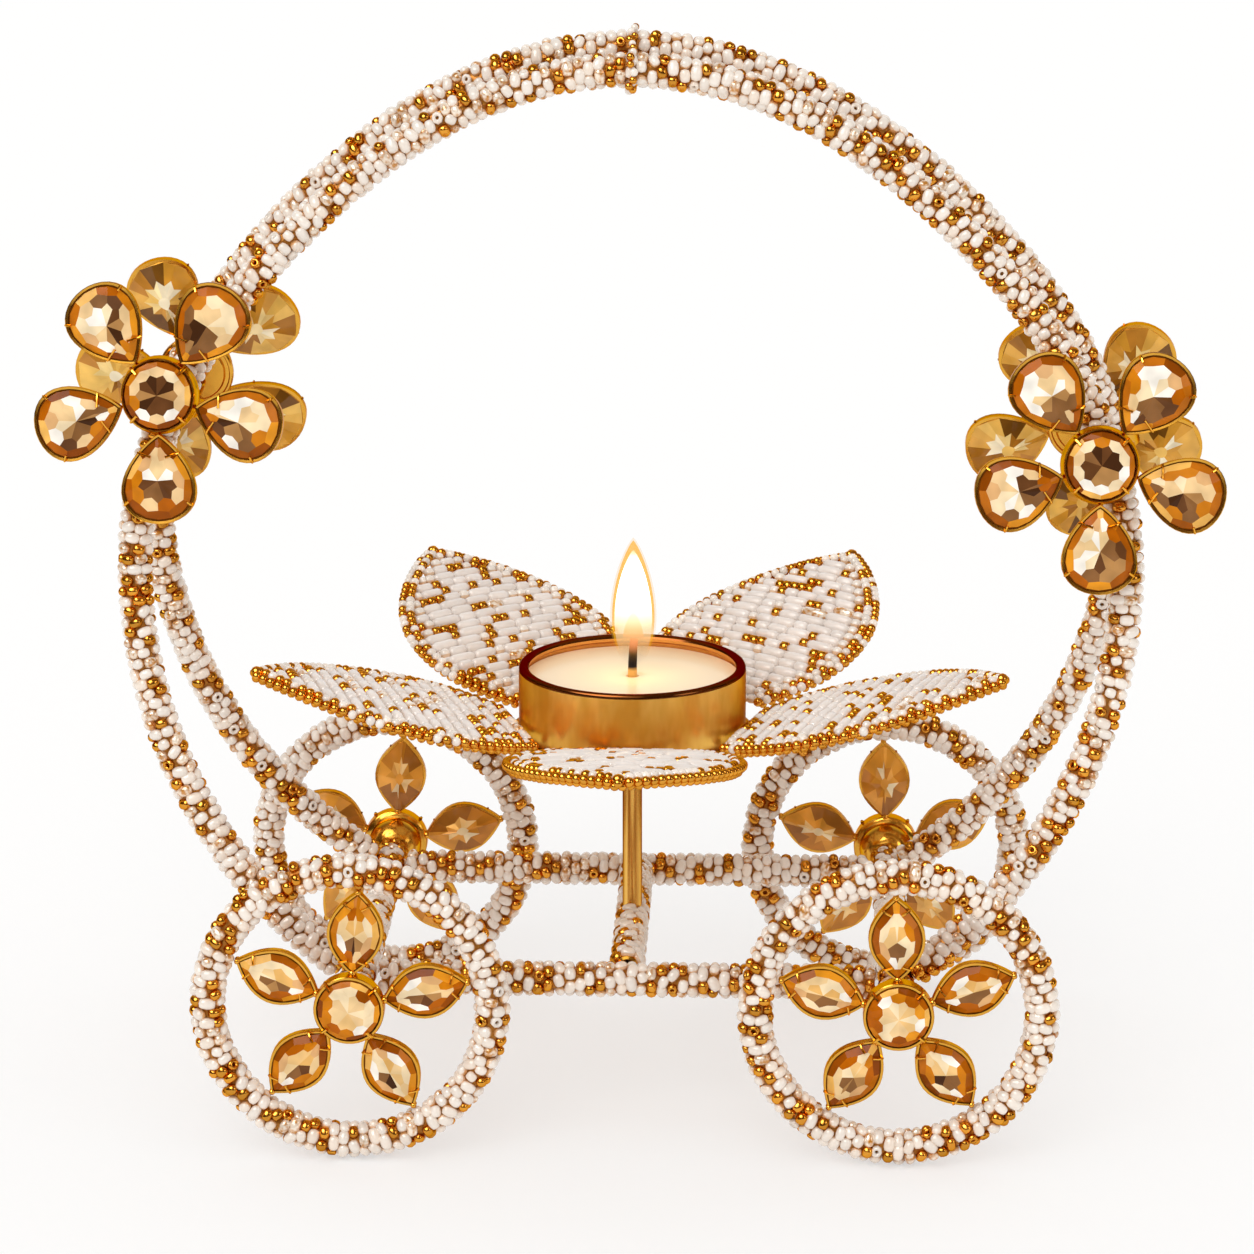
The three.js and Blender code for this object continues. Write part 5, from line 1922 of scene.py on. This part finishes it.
@dataclass
class Candle:
    """The tealight: its gold cup, its wax, its wick and the flame."""

    palette: Palette
    foot: float = 58.7
    radius: float = 19.0
    height: float = 13.0
    wall: float = 0.8
    wax_top: float = 69.5
    wick_radius: float = 0.75
    wick_top: float = 75.9
    flame_foot: float = 70.9
    flame_top: float = 92.9
    flame_radius: float = 3.55

    def build(self) -> None:
        """Makes the four pieces of the tealight."""
        self._cup()
        self._wax()
        self._wick()
        self._flame()
        dress_node("wick_sustainer", self.palette.tin)

    def _cup(self) -> None:
        """Turns the cup with its rolled rim and its lining, warm with painted flame light."""
        z, r, rim = self.foot, self.radius, self.foot + self.height
        inner = r - self.wall
        profile = [
            (0.0, z), (r - 0.6, z), (r - 0.15, z + 0.15), (r, z + 0.6), (r, rim - 0.75),
            (r - 0.02, rim - 0.5), (r - 0.12, rim - 0.22), (r - 0.35, rim - 0.04), (r - 0.7, rim),
            (r - 1.05, rim - 0.04), (r - 1.50, rim - 0.22), (r - 1.68, rim - 0.5), (r - 1.60, rim - 1.0),
            (inner, rim - 1.5), (inner, z + 0.8), (0.0, z + 0.8),
        ]
        parts = [0, 0, 0, 0, 1, 1, 1, 1, 1, 1, 1, 2, 2, 2, 2]
        piece = Workpiece("gold_tealight_cup")
        materials = [self.palette.cup, self.palette.rim, self.palette.lining]
        piece.stamp(Form(spun(profile, 96, parts), "cup"), IN_PLACE, materials)
        piece.finish("tealight", ["tealight_cup"])

    def _wax(self) -> None:
        """Turns the wax with a low meniscus at the wall and the wick."""
        z, top = self.foot + 1.1, self.wax_top
        edge = self.radius - self.wall - 0.25
        bore = self.wick_radius + 0.25
        profile = [
            (6.8, z), (edge, z), (edge, top + 0.18), (edge - 0.4, top + 0.04), (edge - 1.3, top),
            (12.0, top - 0.05), (10.5, top - 0.16), (5.0, top - 0.22), (1.8, top - 0.16),
            (bore + 0.1, top + 0.05), (bore, top - 0.3), (bore, z + 4.3), (1.95, z + 4.3), (1.95, z + 1.1),
            (6.8, z + 1.1), (6.8, z),
        ]
        piece = Workpiece("cream_wax")
        piece.stamp(Form(spun(profile, 96), "wax"), IN_PLACE, [self.palette.wax])
        piece.finish("tealight", ["tealight_wax"])

    def _wick(self) -> None:
        """Draws the wick with its slight bend and its top, a little swollen and then tapering."""
        foot = self.foot + 0.9
        path = Through([
            Vector((0, 0, foot)), Vector((0, 0, self.wax_top)), Vector((0.02, 0, self.wax_top + 2.0)),
            Vector((0.10, 0, self.wax_top + 4.2)), Vector((0.28, -0.03, self.wick_top)),
        ], Vector((1, 0, 0)))
        places = path.frames(24)
        radii = [self.wick_radius] * 14 + [self.wick_radius * (1.04 - 0.012 * k) for k in range(11)]
        bm = tube(places, radii, 14)
        piece = Workpiece("burning_wick")
        piece.stamp(Form(bm, "wick"), IN_PLACE, [self.palette.wick])
        piece.finish("tealight", ["wick"])

    def _shell(self, grow: float, foot: float, top: float) -> Form:
        """Turns one skin of the flame.

        Args:
            grow: How much wider than the flame's own outline it is.
            foot: Its lowest point.
            top: Its highest point.

        Returns:
            The skin.
        """
        fullest, steps = 0.40, 26
        profile = []
        for i in range(steps + 1):
            t = (1 - math.cos(math.pi * i / steps)) / 2
            wide = (t / fullest) ** 0.55 * ((1 - t) / (1 - fullest)) ** 0.825 if 0 < i < steps else 0.0
            profile.append(((self.flame_radius + grow) * wide, foot + (top - foot) * t))
        return Form(spun(profile, 32), "flame_skin", sharp=180.0)

    def _flame(self) -> None:
        """Nests the skins of the flame about the wick."""
        p = self.palette
        lean = Matrix.Translation((0.15, 0, 0))
        skins = (
            ("flame_outer", self._shell(0.32, self.flame_foot - 0.1, self.flame_top + 0.5), p.flame_halo),
            ("flame_mantle", self._shell(0.0, self.flame_foot, self.flame_top), p.flame_edge),
            ("flame_body", self._shell(-0.42, self.flame_foot + 0.5, self.flame_top - 1.6), p.flame_core),
            ("flame_zone", self._shell(-1.75, self.flame_foot + 1.0, self.flame_foot + 9.8), p.flame_heart),
        )
        for name, form, material in skins:
            piece = Workpiece(name)
            piece.stamp(form, lean, [material])
            piece.finish("tealight", [])


@dataclass
class Studio:
    """The pale floor, the soft light and the camera, in metres.

    A soft box is given by its direction, its half angle in degrees and its strength in what metal mirrors.
    """

    azimuth: float = 2.0
    elevation: float = 15.5
    distance: float = 0.700
    target_z: float = 0.078
    target_x: float = -0.0009
    lens: float = 120.57
    floor_size: float = 12.0
    sky: Color = (1.0, 0.99, 0.975, 1.0)
    daylight: float = 0.88
    sun: float = 0.62
    floor_color: str = "FFFFFF"
    floor_glow: float = 0.5
    room_low: str = "3A2818"
    room_high: str = "8A7258"
    soft_boxes: tuple = (((-0.45, -0.45, 0.80), 19.0, 6.5), ((0.80, -0.45, 0.40), 10.0, 3.0))
    sun_from: tuple[float, float, float] = (-0.25, -0.90, 0.8)
    sun_spread: float = 45.0
    flame_power: float = 0.004
    flame_color: tuple[float, float, float] = (1.0, 0.72, 0.38)
    flame_height: float = 0.083

    def build(self) -> None:
        """Sets the whole studio up."""
        self._camera()
        self._floor()
        self._world()
        self._lamps()
        view = bpy.context.scene.view_settings
        view.view_transform = "Standard"

    def _camera(self) -> None:
        """Places the camera at the photograph's angle."""
        az, el = math.radians(self.azimuth), math.radians(self.elevation)
        target = Vector((AXIS.x + self.target_x, AXIS.y, self.target_z))
        back = Vector((math.sin(az) * math.cos(el), -math.cos(az) * math.cos(el), math.sin(el)))
        data = bpy.data.cameras.new("camera")
        data.lens, data.sensor_width, data.sensor_fit = self.lens, 36.0, "HORIZONTAL"
        data.clip_start, data.clip_end = 0.01, 50.0
        camera = bpy.data.objects.new("camera", data)
        camera.location = target + back * self.distance
        camera.rotation_euler = back.to_track_quat("Z", "Y").to_euler()
        bpy.context.scene.collection.objects.link(camera)
        bpy.context.scene.camera = camera

    def _floor(self) -> None:
        """Lays the floor, which is white to the eye where no shadow falls."""
        bm = bmesh.new()
        bmesh.ops.create_grid(bm, x_segments=4, y_segments=4, size=self.floor_size / 2)
        mesh = bpy.data.meshes.new("studio_floor")
        bm.to_mesh(mesh)
        bm.free()
        material = bpy.data.materials.new("matt_paper_backdrop")
        material.use_nodes = True
        tree = material.node_tree
        tree.nodes.clear()
        out = add_node(tree, "ShaderNodeOutputMaterial")
        paper = add_node(tree, "ShaderNodeBsdfDiffuse", {"Color": linear(self.floor_color)})
        white = add_node(tree, "ShaderNodeEmission", {"Color": WHITE, "Strength": 1.0})
        path = add_node(tree, "ShaderNodeLightPath")
        seen = add_node(
            tree, "ShaderNodeMath", {0: path.outputs["Is Camera Ray"], 1: path.outputs["Is Glossy Ray"]},
            operation="MAXIMUM",
        )
        seen = add_node(
            tree, "ShaderNodeMath", {0: seen.outputs["Value"], 1: path.outputs["Is Transmission Ray"]},
            operation="MAXIMUM",
        )
        share = add_node(
            tree, "ShaderNodeMath", {0: seen.outputs["Value"], 1: self.floor_glow}, operation="MULTIPLY",
        )
        body = add_node(
            tree, "ShaderNodeMixShader",
            {0: share.outputs["Value"], 1: paper.outputs["BSDF"], 2: white.outputs["Emission"]},
        )
        tree.links.new(body.outputs["Shader"], out.inputs["Surface"])
        mesh.materials.append(material)
        floor = bpy.data.objects.new("studio_floor", mesh)
        bpy.context.scene.collection.objects.link(floor)

    def _world(self) -> None:
        """Gives plain light, a white sight line, and a room with soft boxes in what metal mirrors."""
        world = bpy.data.worlds.new("studio")
        bpy.context.scene.world = world
        world.use_nodes = True
        tree = world.node_tree
        tree.nodes.clear()
        out = add_node(tree, "ShaderNodeOutputWorld")
        path = add_node(tree, "ShaderNodeLightPath")
        way = add_node(tree, "ShaderNodeTexCoord").outputs["Generated"]
        split = add_node(tree, "ShaderNodeSeparateXYZ", {"Vector": way})
        rise = add_node(
            tree, "ShaderNodeMapRange", {"Value": split.outputs["Z"], "From Min": -0.1, "From Max": 0.8},
            interpolation_type="SMOOTHSTEP",
        )
        room = add_node(
            tree, "ShaderNodeMix",
            {FACTOR: rise.outputs["Result"], FIRST: linear(self.room_low), SECOND: linear(self.room_high)},
            data_type="RGBA",
        )
        wall = add_node(
            tree, "ShaderNodeMapRange", {"Value": split.outputs["Y"], "From Min": 0.45, "From Max": 0.90},
            interpolation_type="SMOOTHSTEP",
        )
        mirrored = add_node(
            tree, "ShaderNodeMix",
            {FACTOR: wall.outputs["Result"], FIRST: room.outputs[BLEND], SECOND: WHITE}, data_type="RGBA",
        ).outputs[BLEND]
        for direction, width, strength in self.soft_boxes:
            facing = add_node(
                tree, "ShaderNodeVectorMath", {0: way, 1: Vector(direction).normalized()},
                operation="DOT_PRODUCT",
            )
            spot = add_node(
                tree, "ShaderNodeMapRange",
                {"Value": facing.outputs["Value"], "From Min": math.cos(math.radians(width * 1.25)),
                 "From Max": math.cos(math.radians(width)), "To Max": strength},
                interpolation_type="SMOOTHSTEP",
            )
            mirrored = add_node(
                tree, "ShaderNodeVectorMath", {0: mirrored, 1: spot.outputs["Result"]}, operation="ADD",
            ).outputs["Vector"]
        lit = add_node(tree, "ShaderNodeBackground", {"Color": self.sky, "Strength": self.daylight})
        shown = add_node(tree, "ShaderNodeBackground", {"Color": mirrored, "Strength": 1.0})
        white = add_node(tree, "ShaderNodeBackground", {"Color": WHITE, "Strength": 1.0})
        glossy = add_node(
            tree, "ShaderNodeMixShader",
            {0: path.outputs["Is Glossy Ray"], 1: lit.outputs["Background"], 2: shown.outputs["Background"]},
        )
        straight = add_node(
            tree, "ShaderNodeMath",
            {0: path.outputs["Is Camera Ray"], 1: path.outputs["Is Transmission Ray"]}, operation="MAXIMUM",
        )
        final = add_node(
            tree, "ShaderNodeMixShader",
            {0: straight.outputs["Value"], 1: glossy.outputs["Shader"], 2: white.outputs["Background"]},
        )
        tree.links.new(final.outputs["Shader"], out.inputs["Surface"])

    def _lamps(self) -> None:
        """Hangs the soft key light and the small light of the flame."""
        data = bpy.data.lights.new("soft_key", "SUN")
        data.energy, data.angle = self.sun, math.radians(self.sun_spread)
        key = bpy.data.objects.new("soft_key", data)
        key.rotation_euler = Vector(self.sun_from).to_track_quat("Z", "Y").to_euler()
        bpy.context.scene.collection.objects.link(key)
        data = bpy.data.lights.new("flame_light", "POINT")
        data.energy, data.color, data.shadow_soft_size = self.flame_power, self.flame_color, 0.003
        glow = bpy.data.objects.new("flame_light", data)
        glow.location = (AXIS.x, AXIS.y, self.flame_height)
        bpy.context.scene.collection.objects.link(glow)


def build_wheels(palette: Palette, box: BeadBox, strand: Strand) -> None:
    """Builds the four wheels, each seen from outside on its own half of the frame.

    Args:
        palette: The materials.
        box: The bead shapes.
        strand: How a strand is sewn.
    """
    upright = Matrix.Rotation(math.pi / 2, 4, "X")
    for end, turn, seen in (("front", 0.0, 1), ("rear", math.pi, -1)):
        for side_name, side, phase in (("left", -seen, -5.0 * seen), ("right", seen, 2.0 * seen)):
            spot = Matrix.Translation((side * AXLE_X, -WHEEL_Y, AXLE_Z)) @ upright
            place = Matrix.Rotation(turn, 4, "Z") @ spot
            Wheel(palette, box, strand, f"{end}_{side_name}", place, phase).build()


def build_flowers(palette: Palette, hoops: Hoops) -> None:
    """Builds the four flowers on the hoops.

    Args:
        palette: The materials.
        hoops: The hoops that carry them.
    """
    sides = (
        (False, "front_left_flower", -1, 20.5, -1.7, 0.0), (False, "front_right_flower", 1, 13.5, 2.1, 0.0),
        (True, "rear_left_flower", 1, 16.7, 2.5, 16.5), (True, "rear_right_flower", -1, 10.3, 4.0, 0.0),
    )
    for rear, name, side, degrees, inset, turn in sides:
        place, radius, centre = hoops.place(rear)
        angle = math.radians(degrees) if side > 0 else math.pi - math.radians(degrees)
        reach, outward = hoops.reach(radius, angle), hoops.outward(radius, angle)
        Flower(palette, name, place, centre, reach, angle, inset, turn, outward).build()


# Each leaf's name, direction round the post in degrees, rise of its tip, and gilt share of its edge.
LEAVES = (
    ("front", -90.0, 9.5, 1.0), ("right", -18.0, 13.5, 0.9), ("rear_right", 54.0, 15.8, 0.6),
    ("rear_left", 126.0, 15.8, 0.6), ("left", 198.0, 13.5, 0.9),
)


def main() -> None:
    """Builds the holder piece by piece, then the studio."""
    logging.basicConfig(level=logging.INFO, format="%(message)s")
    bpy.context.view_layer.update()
    palette = Palette()
    box = BeadBox()
    strand = Strand(palette, box)
    hoops = Hoops(palette, box, strand)
    hoops.build()
    WheelFrame(palette, strand).build()
    build_wheels(palette, box, strand)
    build_flowers(palette, hoops)
    Stand(palette).build()
    for name, turn, rise, gilt in LEAVES:
        Leaf(palette, box, name, turn, rise, edge_gilt=gilt).build()
    Candle(palette).build()
    Studio().build()


if __name__ == "__main__":
    main()
